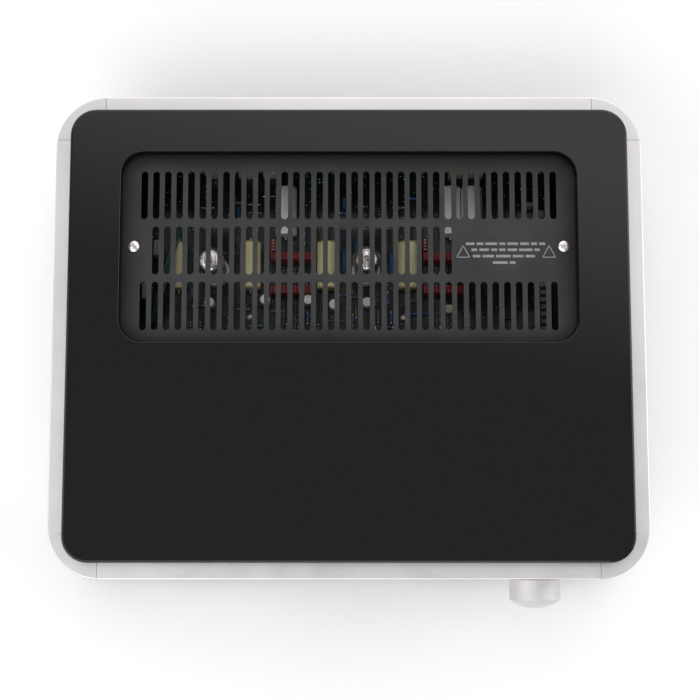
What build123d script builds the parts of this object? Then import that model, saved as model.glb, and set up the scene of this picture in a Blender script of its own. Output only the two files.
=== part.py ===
"""Tube line amplifier: aluminium frame case, gloss top slab with a slotted tube hatch, and its inner parts.

Frame: millimetres, +Z up, front towards -Y, origin at the bottom centre of the whole object's box.
Every sub-part is its own solid or group of equal solids, written to parts/ as one STEP file per node.
"""
from build123d import *
from math import cos, radians, sin
import os

os.makedirs("parts", exist_ok=True)

# ---------------------------------------------------------------- driving dimensions
# Case
CASE_W = 432.0           # width over the aluminium frame
CASE_D = 354.0           # depth over the aluminium frame
CASE_R = 38.0            # outer radius of the four corner posts
FOOT_H = 12.0
PLATE_T = 1.5            # base plate
PLATE_INSET = 3.0        # base plate, inside the frame's outer face
FRAME_H = 78.0           # height of the frame walls
WALL_T = 8.0             # frame wall
LIP_W = 16.0             # width of the flange at the top of the frame, with the wall
LIP_H = 6.0
CORNER_W = 36.0          # corner post, along the front and the rear
CORNER_D = 32.5          # corner post, along the sides
SEAM = 0.3               # open joint between a corner post and the panel beside it
RIM_ROUND = 1.0          # rounding of the frame's upper outer edge
RAIL_H = 12.0            # rear rail above the connector panel
REAR_T = 2.0             # connector panel
REAR_RECESS = 1.0        # connector panel, behind the rail's outer face

# Top slab and hatch
SLAB_INSET = 11.8        # silver rim left visible around the slab
SLAB_T = 9.5
SLAB_R = 19.0
SLAB_ROUND = 2.0
OPENING_ROUND = 0.5      # the slab's edge around the hatch is nearly sharp
HATCH_W = 333.0          # opening in the slab
HATCH_D = 140.8
HATCH_R = 17.0
HATCH_OFFSET = 62.9      # opening centre, behind the case centre
HATCH_GAP = 1.2          # slit around the hatch plate
HATCH_T = 1.5
LEDGE_T = 3.0            # frame that carries the hatch
LEDGE_SIDE = 13.0        # ledge inside the opening, left and right
LEDGE_END = 7.0          # ledge inside the opening, front and rear
LEDGE_OUT = 12.0         # ledge under the slab
LEDGE_OUT_R = 20.0
LEDGE_IN_R = 8.0
HATCH_SCREW_EDGE = 9.2   # screw centre from the opening's side
HATCH_SCREW_SHIFT = 1.0  # screws behind the hatch centre

# Vent slots
SLOT_W = 5.0
SLOT_PITCH = 8.57
SLOT_MARGIN = 16.0       # least distance from the opening's side to the first slot's centre
ROW_MARGIN = 11.35       # solid plate in front of and behind the three rows
ROW_GAP = 5.35           # web between two rows
ROW_SHIFT = -1.8         # middle row, from the hatch centre
SKIPPED_FIRST = 1        # slots left out at the left of the middle row, beside the screw
SKIPPED_LAST = 9         # slots left out at its right, for the label field

# Front controls
CONTROL_Z = 51.5         # height of knob, buttons and display
KNOB_X = 137.3
KNOB_D = 37.5
KNOB_REACH = 22.0        # front of the knob, from the front panel
KNOB_SIDE = 15.7         # end of its straight side
KNOB_GAP = 1.0
KNOB_RECESS_D = 22.0
KNOB_RECESS = 5.0
KNOB_BORE_END = 13.0
SHAFT_D = 6.0
SHAFT_CLEAR = 0.05       # running clearance, radial
BUSH_D = 9.0
BUSH_REACH = 4.0
NUT_AF = 12.0
NUT_T = 2.5
GRUB_D = 3.0
GRUB_L = 6.0
GRUB_KEY_R = 0.75
GRUB_KEY_DEPTH = 2.0
KNOB_ROUND = 0.6
SHAFT_TAIL = 5.5         # shaft's inner end, behind the wall
SHAFT_END_CLEAR = 0.5
ENCODER_W = 16.0
SWITCH_DEPTH = 18.0      # panel's inner face to the control board
BOARD_T = 1.6
POWER_X = -150.0
POWER_D = 12.0
POWER_TRAVEL = 1.5
SELECT_X = 62.0
SELECT_D = 8.0
SELECT_TRAVEL = 0.8
BUTTON_CLEAR = 0.3
BUTTON_STAND = 0.8       # caps stand almost flush with the panel
BUTTON_ROUND = 0.5
BUTTON_FLANGE = 1.5
BUTTON_FLANGE_OVER = 1.5 # flange wider than the cap, radial
STEM_D = 3.4
STEM_CLEAR = 0.2
STEM_END_CLEAR = 0.5     # left in the switch when the button is pressed fully
SWITCH_GAP = 6.0         # switch bodies start this far behind the wall
SWITCH_FLOOR = 2.0
POWER_SWITCH_W = 13.0
SELECT_SWITCH_W = 7.0
WINDOW_W = 84.0
WINDOW_H = 28.0
WINDOW_T = 3.0
WINDOW_REST = 4.0        # width of the step that the window rests on
WINDOW_CLEAR = 0.1
WINDOW_R = 2.0
CONTROL_BOARD_H = 40.0
CONTROL_BOARD_INSET = 12.0
MODULE_INSET = (2.0, 1.0)    # display module inside the window's outline, each side
MODULE_GAP = 1.0             # behind the wall

# Rear connectors
REAR_REACH = 10.0        # phono jacks, beyond the case
JACK_SHELL_D = 8.3
JACK_HOLE_D = 9.0
JACK_BORE_D = 3.3        # socket for the plug's centre pin
JACK_MOUTH_D = 6.6       # recess for the insulator
JACK_MOUTH = 1.0
JACK_BORE_L = 9.0
JACK_BODY_L = 14.0       # body behind the connector panel's outer face
JACK_NUT_AF = 11.0
JACK_NUT_T = 2.0
JACK_ROUND = 0.5
JACK_PITCH_X = 22.0
JACK_PITCH_Z = 20.0
JACK_COLUMNS = 6
JACK_X = 80.0
JACK_Z = 42.0
INLET_X = -125.0         # mains inlet module
INLET_Z = 45.0
INLET_BODY = (66.0, 26.0)
INLET_BORDER = 3.0       # flange around the body
INLET_DEPTH = 22.0
INLET_FLANGE_T = 2.0
PLUG_W = 24.0
PLUG_H = 16.3
PLUG_DEPTH = 17.0
PLUG_CHAMFER = 5.0
PLUG_SHIFT = -16.0       # plug cavity, from the module's centre
ROCKER_SHIFT = 19.0      # rocker switch, from the module's centre
ROCKER_W = 13.0
ROCKER_R = 9.5
ROCKER_CLEAR = 0.6
ROCKER_SIDE_CLEAR = 0.4
ROCKER_PIVOT = 4.0       # pivot behind the flange's outer face
ROCKER_FACE = 5.0        # meeting line of its two faces, in front of the pivot
ROCKER_TILT = 10.0       # each face's slope, in degrees
ROCKER_PIN_D = 3.0
ROCKER_PIN_L = 1.5
ROCKER_PIN_END = 0.2

# Feet and screws
FOOT_D = 40.0
FOOT_TIP_D = 36.0
FOOT_INSET = 44.0
FOOT_RECESS = 5.0
FOOT_RECESS_CLEAR = 1.0  # around the screw head, radial
FOOT_ROUND = 1.5
SCREW_D = 4.0
SCREW_L = 12.0
SCREW_HEAD_D = 8.0
SCREW_HEAD_H = 2.6
BOSS_D = 9.0
BOSS_H = 5.0
HATCH_SCREW_D = 3.0
HATCH_SCREW_HEAD_D = 8.0
HATCH_SCREW_HEAD_H = 2.4
HATCH_SCREW_CLEAR = 0.1
HATCH_SCREW_END = 2.5    # end of the screw below the ledge
VENT_PLACE = (60.0, 75.0)    # intake slots in the base plate, under the tubes
VENT_SIZE = (4.0, 60.0)
VENT_PITCH = 12.0
VENT_COUNT = 12

# Boards
STANDOFF_H = 8.5
STANDOFF_AF = 5.5
BOARD_SCREW_D = 3.0
BOARD_SCREW_HEAD_D = 5.5
BOARD_SCREW_HEAD_H = 2.0
BOARD_SCREW_GRIP = 5.0   # thread in the standoff
MAIN_BOARD = (326.0, 164.0)
MAIN_BOARD_SHIFT = 70.0
POWER_BOARD = (215.0, 112.0)
POWER_BOARD_PLACE = (82.0, -84.0)

# Tubes and parts on the main board, each as x and y from the case centre
TUBE_D = 21.0
TUBE_TOP_CLEAR = 4.0     # tube's tip, below the ledge
TUBE_WALL = 1.0
TUBE_BASE_BEVEL = 1.5
TUBE_TIP = 9.0           # height of the closing part of the bottle
TUBE_DOME = 6.0
TIP_R = 2.6
TIP_TAPER = 0.6
TIP_BEVEL = 1.5
MICA_Z = (6.0, 31.0)     # lower and upper spacer of the electrodes
MICA_T = 0.4
MICA_CLEAR = 0.5
PLATE_BOX = (6.6, 10.0)  # each anode box, seen from above
PLATE_BOX_X = 4.2
PLATE_BOX_R = 1.5
GETTER_POST = 1.0
GETTER_POST_H = 8.0
GETTER_D = 9.0
GETTER_T = 0.6
TUBE_SPOTS = {"left": (-103.0, 56.6), "right": (13.3, 57.4)}
SOCKET_D = 22.0
SOCKET_H = 10.0
PIN_CIRCLE_D = 11.9
PIN_D = 1.0
PIN_L = 7.0
PIN_CLEAR = 0.15
PIN_COUNT = 9
PIN_STEP = 36.0
SOCKET_ROUND = 0.8
SOCKET_HOLE_D = 3.0
FILM_L = 37.1
FILM_SPOTS = [(-131.2, 61.2), (-75.9, 61.2), (-16.5, 61.2), (45.7, 61.2)]
FILM_DIAMETERS = [12.8, 16.1, 16.1, 16.1]
FILM_ROUND = 1.0
CAN_D = 16.4
CAN_L = 38.4
CAN_ROUND = 1.5
CAN_SPOTS = [(-48.6, 103.7), (78.4, 103.7), (95.4, 103.7)]
BOX_CAP = (31.6, 6.2, 15.0)
BOX_ROUND = 0.5
BOX_SPOTS = [(-44.3, 41.5), (-44.3, 67.6), (73.0, 41.5), (73.0, 67.4)]
UPRIGHT_D = 7.6
UPRIGHT_H = 12.0
UPRIGHT_ROUND = 0.6
UPRIGHT_SPOTS = [(-107.2, 32.0), (-64.4, 34.2), (-31.6, 34.2), (-11.3, 30.5), (14.2, 32.1)]
SHIELD_T = 1.2
SHIELD_TOP_CLEAR = 7.0   # below the ledge
SHIELDS = [(-98.4, 80.6, 21.6), (13.2, 79.9, 38.0)]   # x, y and width
RELAY = (12.0, 20.0, 18.0)
RELAY_ROUND = 0.6
RELAY_SPOTS = [(-105.2, 141.5), (-79.4, 141.5), (-60.3, 141.5), (83.5, 141.5), (98.1, 141.5)]
LEAD_D = 1.5
LEAD_PITCH = 1.9
LEAD_COUNT = 3
LEAD_BEND = 9.0

# Power supply
TOROID_PLACE = (-112.0, -84.0)
TOROID_D = 110.0
TOROID_HOLE = 36.0
TOROID_H = 46.0
TOROID_ROUND = 12.0
DISH_D = 60.0
DISH_T = 2.5
BOLT_D = 8.0
BOLT_END = 9.0           # above the dish
BOLT_NUT_AF = 13.0
BOLT_NUT_T = 6.0
FILTER_D = 30.0
FILTER_H = 42.0
FILTER_PITCH = (46.0, 44.0)
FILTER_ROUND = 1.5

# ---------------------------------------------------------------- planes and places
Y_FRONT = -(CASE_D + KNOB_REACH + REAR_REACH) / 2 + KNOB_REACH
Y_REAR = Y_FRONT + CASE_D
Y_MID = (Y_FRONT + Y_REAR) / 2
Z_FRAME = FOOT_H + PLATE_T
Z_RIM = Z_FRAME + FRAME_H
Z_LEDGE = Z_RIM - LEDGE_T
Z_BOARD = Z_FRAME + STANDOFF_H + BOARD_T
Y_REAR_FACE = Y_REAR - REAR_RECESS
PANEL_HALF_W = CASE_W / 2 - CORNER_W - SEAM
PANEL_HALF_D = CASE_D / 2 - CORNER_D - SEAM
HATCH_Y = Y_MID + HATCH_OFFSET
SLOT_COUNT = int((HATCH_W - 2 * SLOT_MARGIN) / SLOT_PITCH) + 1
SLOT_L = (HATCH_D - 2 * ROW_MARGIN - 2 * ROW_GAP) / 3
MIDDLE_COUNT = SLOT_COUNT - SKIPPED_FIRST - SKIPPED_LAST
INLET_FLANGE = (INLET_BODY[0] + 2 * INLET_BORDER, INLET_BODY[1] + 2 * INLET_BORDER)
Z_TUBE = Z_BOARD + SOCKET_H
TUBE_H = Z_LEDGE - TUBE_TOP_CLEAR - Z_TUBE
SHIELD_H = Z_LEDGE - SHIELD_TOP_CLEAR - Z_BOARD


def spot(x, y):
    """A place given from the case centre."""
    return (x, Y_MID + y)


def level(z):
    """Horizontal plane at height z."""
    return Plane.XY.offset(z)


def front_face(x, inward=0.0):
    """Plane on the front panel's outer face at control height, facing the user; inward moves it back."""
    return Plane(origin=(x, Y_FRONT + inward, CONTROL_Z), x_dir=(1, 0, 0), z_dir=(0, -1, 0))


def rear_face(x, z, outward=0.0):
    """Plane on the connector panel's outer face, facing the rear."""
    return Plane(origin=(x, Y_REAR_FACE + outward, z), x_dir=(-1, 0, 0), z_dir=(0, 1, 0))


def write(piece, name):
    """Label one finished piece and write it to its STEP file."""
    piece.label = name
    export_step(piece, f"parts/{name}.step")


def case_outline(inset, radius):
    """Rounded rectangle around the case centre, inset from the case's outer face."""
    with Locations((0, Y_MID)):
        RectangleRounded(CASE_W - 2 * inset, CASE_D - 2 * inset, radius)


def copies(piece, places):
    """A group of equal solids, one at each place."""
    with BuildPart() as group:
        with Locations(*places):
            add(piece)
    return group.part


# ---------------------------------------------------------------- screws
def pan_screw(shank_d, shank_l, head_d, head_h):
    """Pan head screw with a cross recess, its head's seat on z = 0 and its shank pointing down."""
    skirt = 0.4 * head_h
    dome = head_h - skirt
    dome_r = ((head_d / 2) ** 2 + dome**2) / (2 * dome)
    half_way = head_d / 4
    half_way_h = head_h - dome_r + (dome_r**2 - half_way**2) ** 0.5
    with BuildPart() as screw:
        with BuildSketch(Plane.XZ):
            with BuildLine():
                Line((0, -shank_l), (shank_d / 2, -shank_l))
                Line((shank_d / 2, -shank_l), (shank_d / 2, 0))
                Line((shank_d / 2, 0), (head_d / 2, 0))
                Line((head_d / 2, 0), (head_d / 2, skirt))
                ThreePointArc((head_d / 2, skirt), (half_way, half_way_h), (0, head_h))
                Line((0, head_h), (0, -shank_l))
            make_face()
        revolve(axis=Axis.Z)
        with BuildSketch(level(head_h)):
            Rectangle(0.55 * head_d, 0.13 * head_d)
            Rectangle(0.13 * head_d, 0.55 * head_d)
        extrude(amount=-0.6 * head_h, mode=Mode.SUBTRACT)
    return screw.part


# ---------------------------------------------------------------- base plate, feet and bottom screws
FOOT_SPOTS = [
    (side * (CASE_W / 2 - FOOT_INSET), Y_MID + end * (CASE_D / 2 - FOOT_INSET))
    for end in (-1, 1)
    for side in (-1, 1)
]
WALL_MID = WALL_T / 2
POST_ARM = (CASE_R - WALL_MID) / 2**0.5      # post screws stand on the wall's arc, at 45 degrees
POST_SCREW_X = CASE_W / 2 - CASE_R + POST_ARM
POST_SCREW_Y = CASE_D / 2 - CASE_R + POST_ARM
FRAME_SCREW_SPOTS = [
    *[spot(side * POST_SCREW_X, end * POST_SCREW_Y) for side in (-1, 1) for end in (-1, 1)],
    *[spot(side * (CASE_W / 2 - WALL_MID), 0) for side in (-1, 1)],
    *[(x, Y_FRONT + WALL_MID) for x in (-110, 0, 110)],
]
BOARD_SPOTS = [
    spot(x, y)
    for x, y in [
        (-157, -6), (157, -6), (-157, 146), (157, 146), (-76.7, 21.8), (42.4, 21.2), (0, 146),
        (-18, -132), (182, -132), (-18, -36), (182, -36),
    ]
]
TOROID_SPOT = spot(*TOROID_PLACE)

with BuildPart() as base_plate:
    with BuildSketch(level(FOOT_H)):
        case_outline(PLATE_INSET, CASE_R - PLATE_INSET)
        with Locations(*FOOT_SPOTS, *FRAME_SCREW_SPOTS):
            Circle(SCREW_D / 2, mode=Mode.SUBTRACT)
        with Locations(TOROID_SPOT):
            Circle(BOLT_D / 2, mode=Mode.SUBTRACT)
        with Locations(spot(*VENT_PLACE)):
            with GridLocations(VENT_PITCH, 0, VENT_COUNT, 1):
                SlotOverall(VENT_SIZE[1], VENT_SIZE[0], rotation=90, mode=Mode.SUBTRACT)
    extrude(amount=PLATE_T)
    with BuildSketch(level(Z_FRAME)):
        with Locations(*FOOT_SPOTS):
            Circle(BOSS_D / 2)
            Circle(SCREW_D / 2, mode=Mode.SUBTRACT)
    extrude(amount=BOSS_H)
write(base_plate.part, "base_plate")

with BuildPart() as foot:
    with BuildSketch(level(FOOT_H)):
        Circle(FOOT_D / 2)
    with BuildSketch(level(0)):
        Circle(FOOT_TIP_D / 2)
    loft()
    fillet(foot.edges().group_by(Axis.Z)[0], FOOT_ROUND)
    with BuildSketch(level(0)):
        Circle(SCREW_HEAD_D / 2 + FOOT_RECESS_CLEAR)
    extrude(amount=FOOT_RECESS, mode=Mode.SUBTRACT)
    with BuildSketch(level(FOOT_RECESS)):
        Circle(SCREW_D / 2)
    extrude(amount=FOOT_H - FOOT_RECESS, mode=Mode.SUBTRACT)

FOOT_NAMES = ["foot_front_left", "foot_front_right", "foot_rear_left", "foot_rear_right"]
for name, place in zip(FOOT_NAMES, FOOT_SPOTS):
    write(copies(foot.part, [place]), name)

bottom_screw = pan_screw(SCREW_D, SCREW_L, SCREW_HEAD_D, SCREW_HEAD_H)
UPWARD = (180, 0, 0)
bottom_places = [Location((x, y, FOOT_RECESS), UPWARD) for x, y in FOOT_SPOTS]
bottom_places += [Location((x, y, FOOT_H), UPWARD) for x, y in FRAME_SCREW_SPOTS]
write(copies(bottom_screw, bottom_places), "bottom_screws")


# ---------------------------------------------------------------- aluminium frame
def frame_screw_holes():
    """Blind threaded holes in the frame's lower face."""
    with BuildSketch(level(Z_FRAME)) as holes:
        with Locations(*FRAME_SCREW_SPOTS):
            Circle(SCREW_D / 2)
    extrude(holes.sketch, amount=SCREW_L - PLATE_T, mode=Mode.SUBTRACT)


def is_outer(edge):
    """True for an edge that lies on the case's outer face."""
    middle = edge @ 0.5
    on_side = abs(abs(middle.X) - CASE_W / 2) < 0.01
    on_end = abs(abs(middle.Y - Y_MID) - CASE_D / 2) < 0.01
    on_corner = edge.geom_type == GeomType.CIRCLE and abs(edge.radius - CASE_R) < 0.01
    return on_side or on_end or on_corner


def frame_ring(z, height, width, region):
    """Part of the frame's ring, width wide, inside a region (centre x, centre y, size x, size y)."""
    with BuildSketch(level(z)) as ring:
        case_outline(0, CASE_R)
        with Locations((0, Y_MID)):
            RectangleRounded(CASE_W - 2 * width, CASE_D - 2 * width, CASE_R - width, mode=Mode.SUBTRACT)
        with Locations(region[:2]):
            Rectangle(*region[2:], mode=Mode.INTERSECT)
    extrude(ring.sketch, amount=height)


def wall_and_lip(region):
    """Frame wall with its flange along the top, and the screw holes in its lower face."""
    frame_ring(Z_FRAME, FRAME_H, WALL_T, region)
    frame_ring(Z_RIM - LIP_H, LIP_H, LIP_W, region)
    frame_screw_holes()


def round_rim(frame_part):
    """Round the upper outer edge."""
    fillet(frame_part.edges().group_by(Axis.Z)[-1].filter_by(is_outer), RIM_ROUND)


def post_region(side, end):
    """The corner that one post fills."""
    x, y = spot(side * (CASE_W - CORNER_W) / 2, end * (CASE_D - CORNER_D) / 2)
    return (x, y, CORNER_W, CORNER_D)


for name, side, end in (
    ("corner_front_left", -1, -1),
    ("corner_front_right", 1, -1),
    ("corner_rear_left", -1, 1),
    ("corner_rear_right", 1, 1),
):
    with BuildPart() as post:
        wall_and_lip(post_region(side, end))
        round_rim(post)
    write(post.part, name)

for name, side in (("side_panel_left", -1), ("side_panel_right", 1)):
    with BuildPart() as panel:
        wall_and_lip((side * (CASE_W - LIP_W) / 2, Y_MID, LIP_W, 2 * PANEL_HALF_D))
        round_rim(panel)
    write(panel.part, name)

with BuildPart() as front_panel:
    wall_and_lip((0, Y_FRONT + LIP_W / 2, 2 * PANEL_HALF_W, LIP_W))
    for x, hole_d in (
        (KNOB_X, BUSH_D),
        (POWER_X, POWER_D + 2 * BUTTON_CLEAR),
        (-SELECT_X, SELECT_D + 2 * BUTTON_CLEAR),
        (SELECT_X, SELECT_D + 2 * BUTTON_CLEAR),
    ):
        with BuildSketch(front_face(x)):
            Circle(hole_d / 2)
        extrude(amount=-WALL_T, mode=Mode.SUBTRACT)
    with BuildSketch(front_face(0)):
        RectangleRounded(WINDOW_W, WINDOW_H, WINDOW_R)
    extrude(amount=-WINDOW_T, mode=Mode.SUBTRACT)
    with BuildSketch(front_face(0)):
        Rectangle(WINDOW_W - 2 * WINDOW_REST, WINDOW_H - 2 * WINDOW_REST)
    extrude(amount=-WALL_T, mode=Mode.SUBTRACT)
    round_rim(front_panel)
write(front_panel.part, "front_panel")

with BuildPart() as rear_rail:
    frame_ring(Z_RIM - RAIL_H, RAIL_H, LIP_W, (0, Y_REAR - LIP_W / 2, 2 * PANEL_HALF_W, LIP_W))
    round_rim(rear_rail)
write(rear_rail.part, "rear_rail")

JACK_SPOTS = [
    (JACK_X + (column - (JACK_COLUMNS - 1) / 2) * JACK_PITCH_X, JACK_Z + row * JACK_PITCH_Z / 2)
    for row in (-1, 1)
    for column in range(JACK_COLUMNS)
]
REAR_H = FRAME_H - RAIL_H

with BuildPart() as rear_panel:
    with BuildSketch(rear_face(0, Z_FRAME + REAR_H / 2)):
        Rectangle(2 * PANEL_HALF_W, REAR_H)
    extrude(amount=-REAR_T)
    for x, z in JACK_SPOTS:
        with BuildSketch(rear_face(x, z)):
            Circle(JACK_HOLE_D / 2)
        extrude(amount=-REAR_T, mode=Mode.SUBTRACT)
    with BuildSketch(rear_face(INLET_X, INLET_Z)):
        Rectangle(*INLET_BODY)
    extrude(amount=-REAR_T, mode=Mode.SUBTRACT)
write(rear_panel.part, "rear_panel")

# ---------------------------------------------------------------- top slab, hatch frame and hatch
with BuildPart() as top_panel:
    with BuildSketch(level(Z_RIM)):
        case_outline(SLAB_INSET, SLAB_R)
        with Locations((0, HATCH_Y)):
            RectangleRounded(HATCH_W, HATCH_D, HATCH_R, mode=Mode.SUBTRACT)
    extrude(amount=SLAB_T)
    fillet(top_panel.faces().sort_by(Axis.Z)[-1].outer_wire().edges(), SLAB_ROUND)
    fillet(top_panel.faces().sort_by(Axis.Z)[-1].inner_wires()[0].edges(), OPENING_ROUND)
write(top_panel.part, "top_panel")

HATCH_SCREW_SPOTS = [
    (side * (HATCH_W / 2 - HATCH_SCREW_EDGE), HATCH_Y + HATCH_SCREW_SHIFT) for side in (-1, 1)
]

with BuildPart() as hatch_frame:
    with BuildSketch(level(Z_LEDGE)):
        with Locations((0, HATCH_Y)):
            RectangleRounded(HATCH_W + 2 * LEDGE_OUT, HATCH_D + 2 * LEDGE_OUT, LEDGE_OUT_R)
            RectangleRounded(
                HATCH_W - 2 * LEDGE_SIDE, HATCH_D - 2 * LEDGE_END, LEDGE_IN_R, mode=Mode.SUBTRACT
            )
        with Locations(*HATCH_SCREW_SPOTS):
            Circle(HATCH_SCREW_D / 2 + HATCH_SCREW_CLEAR, mode=Mode.SUBTRACT)
    extrude(amount=LEDGE_T)
write(hatch_frame.part, "hatch_frame")

with BuildPart() as vent_hatch:
    with BuildSketch(level(Z_RIM)):
        with Locations((0, HATCH_Y)):
            RectangleRounded(HATCH_W - 2 * HATCH_GAP, HATCH_D - 2 * HATCH_GAP, HATCH_R - HATCH_GAP)
        for row in (-1, 1):
            with Locations((0, HATCH_Y + ROW_SHIFT + row * (SLOT_L + ROW_GAP))):
                with GridLocations(SLOT_PITCH, 0, SLOT_COUNT, 1):
                    SlotOverall(SLOT_L, SLOT_W, rotation=90, mode=Mode.SUBTRACT)
        with Locations(((SKIPPED_FIRST - SKIPPED_LAST) / 2 * SLOT_PITCH, HATCH_Y + ROW_SHIFT)):
            with GridLocations(SLOT_PITCH, 0, MIDDLE_COUNT, 1):
                SlotOverall(SLOT_L, SLOT_W, rotation=90, mode=Mode.SUBTRACT)
        with Locations(*HATCH_SCREW_SPOTS):
            Circle(HATCH_SCREW_D / 2, mode=Mode.SUBTRACT)
    extrude(amount=HATCH_T)
write(vent_hatch.part, "vent_hatch")

hatch_screw = pan_screw(
    HATCH_SCREW_D, HATCH_T + LEDGE_T + HATCH_SCREW_END, HATCH_SCREW_HEAD_D, HATCH_SCREW_HEAD_H
)
hatch_screw_places = [Location((x, y, Z_RIM + HATCH_T)) for x, y in HATCH_SCREW_SPOTS]
write(copies(hatch_screw, hatch_screw_places), "hatch_screws")


# ---------------------------------------------------------------- volume knob, shaft and encoder
def across(x):
    """Half-plane through a control's axis: first direction outward from the axis, second towards the user."""
    return Plane(origin=(x, Y_FRONT, CONTROL_Z), x_dir=(1, 0, 0), z_dir=(0, 0, -1))


def control_axis(x):
    """The axis of a knob or button, pointing at the user."""
    return Axis((x, Y_FRONT, CONTROL_Z), (0, -1, 0))


knob_r = KNOB_D / 2
grub_h = (KNOB_RECESS + KNOB_BORE_END) / 2
dome_r = (knob_r**2 + (KNOB_REACH - KNOB_SIDE) ** 2) / (2 * (KNOB_REACH - KNOB_SIDE))
half_r = knob_r / 2
half_h = KNOB_REACH - dome_r + (dome_r**2 - half_r**2) ** 0.5
grub_hole = Plane(origin=(KNOB_X, Y_FRONT - grub_h, CONTROL_Z), x_dir=(1, 0, 0), z_dir=(0, 0, -1))

with BuildPart() as volume_knob:
    with BuildSketch(across(KNOB_X)):
        with BuildLine():
            Polyline(
                (0, KNOB_REACH), (0, KNOB_BORE_END), (SHAFT_D / 2, KNOB_BORE_END), (SHAFT_D / 2, KNOB_RECESS),
                (KNOB_RECESS_D / 2, KNOB_RECESS), (KNOB_RECESS_D / 2, KNOB_GAP), (knob_r, KNOB_GAP),
                (knob_r, KNOB_SIDE),
            )
            ThreePointArc((knob_r, KNOB_SIDE), (half_r, half_h), (0, KNOB_REACH))
        make_face()
    revolve(axis=control_axis(KNOB_X))
    fillet(volume_knob.edges().filter_by(GeomType.CIRCLE).sort_by(SortBy.RADIUS)[-2:], KNOB_ROUND)
    with BuildSketch(grub_hole):
        Circle(GRUB_D / 2)
    extrude(amount=knob_r + 1.0, mode=Mode.SUBTRACT)
write(volume_knob.part, "volume_knob")

with BuildPart() as volume_shaft:
    with BuildSketch(front_face(KNOB_X, WALL_T + SHAFT_TAIL)):
        Circle(SHAFT_D / 2)
    extrude(amount=WALL_T + SHAFT_TAIL + KNOB_BORE_END)
write(volume_shaft.part, "volume_shaft")

with BuildPart() as knob_grub_screw:
    with BuildSketch(grub_hole.offset(SHAFT_D / 2)):
        Circle(GRUB_D / 2)
    extrude(amount=GRUB_L)
    with BuildSketch(grub_hole.offset(SHAFT_D / 2 + GRUB_L)):
        RegularPolygon(GRUB_KEY_R, 6)
    extrude(amount=-GRUB_KEY_DEPTH, mode=Mode.SUBTRACT)
write(knob_grub_screw.part, "knob_grub_screw")

with BuildPart() as encoder_body:
    with BuildSketch(front_face(KNOB_X, WALL_T + SWITCH_DEPTH)):
        Rectangle(ENCODER_W, ENCODER_W)
    extrude(amount=SWITCH_DEPTH)
    with BuildSketch(front_face(KNOB_X, WALL_T)):
        Circle(BUSH_D / 2)
    extrude(amount=WALL_T + BUSH_REACH)
    with BuildSketch(front_face(KNOB_X, WALL_T + SHAFT_TAIL + SHAFT_END_CLEAR)):
        Circle(SHAFT_D / 2 + SHAFT_CLEAR)
    extrude(amount=WALL_T + SHAFT_TAIL + SHAFT_END_CLEAR + BUSH_REACH, mode=Mode.SUBTRACT)
write(encoder_body.part, "encoder_body")

with BuildPart() as encoder_nut:
    with BuildSketch(front_face(KNOB_X)):
        RegularPolygon(NUT_AF / 2, 6, major_radius=False)
        Circle(BUSH_D / 2, mode=Mode.SUBTRACT)
    extrude(amount=NUT_T)
write(encoder_nut.part, "encoder_nut")

# ---------------------------------------------------------------- push buttons and their switches
SWITCH_FACE = WALL_T + SWITCH_GAP
SWITCH_BACK = WALL_T + SWITCH_DEPTH


def push_button(name, x, cap_d, travel):
    """Cap through the panel, a flange that keeps it in, and a stem into its switch."""
    stem_end = SWITCH_BACK - SWITCH_FLOOR - STEM_END_CLEAR - travel
    with BuildPart() as button:
        with BuildSketch(front_face(x, WALL_T)):
            Circle(cap_d / 2)
        extrude(amount=WALL_T + BUTTON_STAND)
        fillet(button.edges().sort_by(Axis.Y)[0], BUTTON_ROUND)
        with BuildSketch(front_face(x, WALL_T)):
            Circle(cap_d / 2 + BUTTON_FLANGE_OVER)
        extrude(amount=-BUTTON_FLANGE)
        with BuildSketch(front_face(x, WALL_T + BUTTON_FLANGE)):
            Circle(STEM_D / 2)
        extrude(amount=-(stem_end - WALL_T - BUTTON_FLANGE))
    write(button.part, name)


def switch_body(x, width):
    """Switch case on the control board, with a well for the button's stem."""
    with BuildPart() as switch:
        with BuildSketch(front_face(x, SWITCH_FACE)):
            Rectangle(width, width)
            Circle(STEM_D / 2 + STEM_CLEAR, mode=Mode.SUBTRACT)
        extrude(amount=-(SWITCH_BACK - SWITCH_FLOOR - SWITCH_FACE))
        with BuildSketch(front_face(x, SWITCH_BACK - SWITCH_FLOOR)):
            Rectangle(width, width)
        extrude(amount=-SWITCH_FLOOR)
    return switch.part


push_button("power_button", POWER_X, POWER_D, POWER_TRAVEL)
push_button("select_button_left", -SELECT_X, SELECT_D, SELECT_TRAVEL)
push_button("select_button_right", SELECT_X, SELECT_D, SELECT_TRAVEL)
write(switch_body(POWER_X, POWER_SWITCH_W), "power_switch")

with BuildPart() as select_switches:
    for x in (-SELECT_X, SELECT_X):
        add(switch_body(x, SELECT_SWITCH_W))
write(select_switches.part, "select_switches")

# ---------------------------------------------------------------- display and control board
with BuildPart() as display_window:
    with BuildSketch(front_face(0, WINDOW_T)):
        RectangleRounded(
            WINDOW_W - 2 * WINDOW_CLEAR, WINDOW_H - 2 * WINDOW_CLEAR, WINDOW_R - WINDOW_CLEAR
        )
    extrude(amount=WINDOW_T)
write(display_window.part, "display_window")

with BuildPart() as display_module:
    with BuildSketch(front_face(0, SWITCH_BACK)):
        Rectangle(WINDOW_W - 2 * MODULE_INSET[0], WINDOW_H - 2 * MODULE_INSET[1])
    extrude(amount=SWITCH_DEPTH - MODULE_GAP)
write(display_module.part, "display_module")

with BuildPart() as control_board:
    with BuildSketch(front_face(0, SWITCH_BACK)):
        Rectangle(2 * (PANEL_HALF_W - CONTROL_BOARD_INSET), CONTROL_BOARD_H)
    extrude(amount=-BOARD_T)
write(control_board.part, "control_board")

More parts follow.
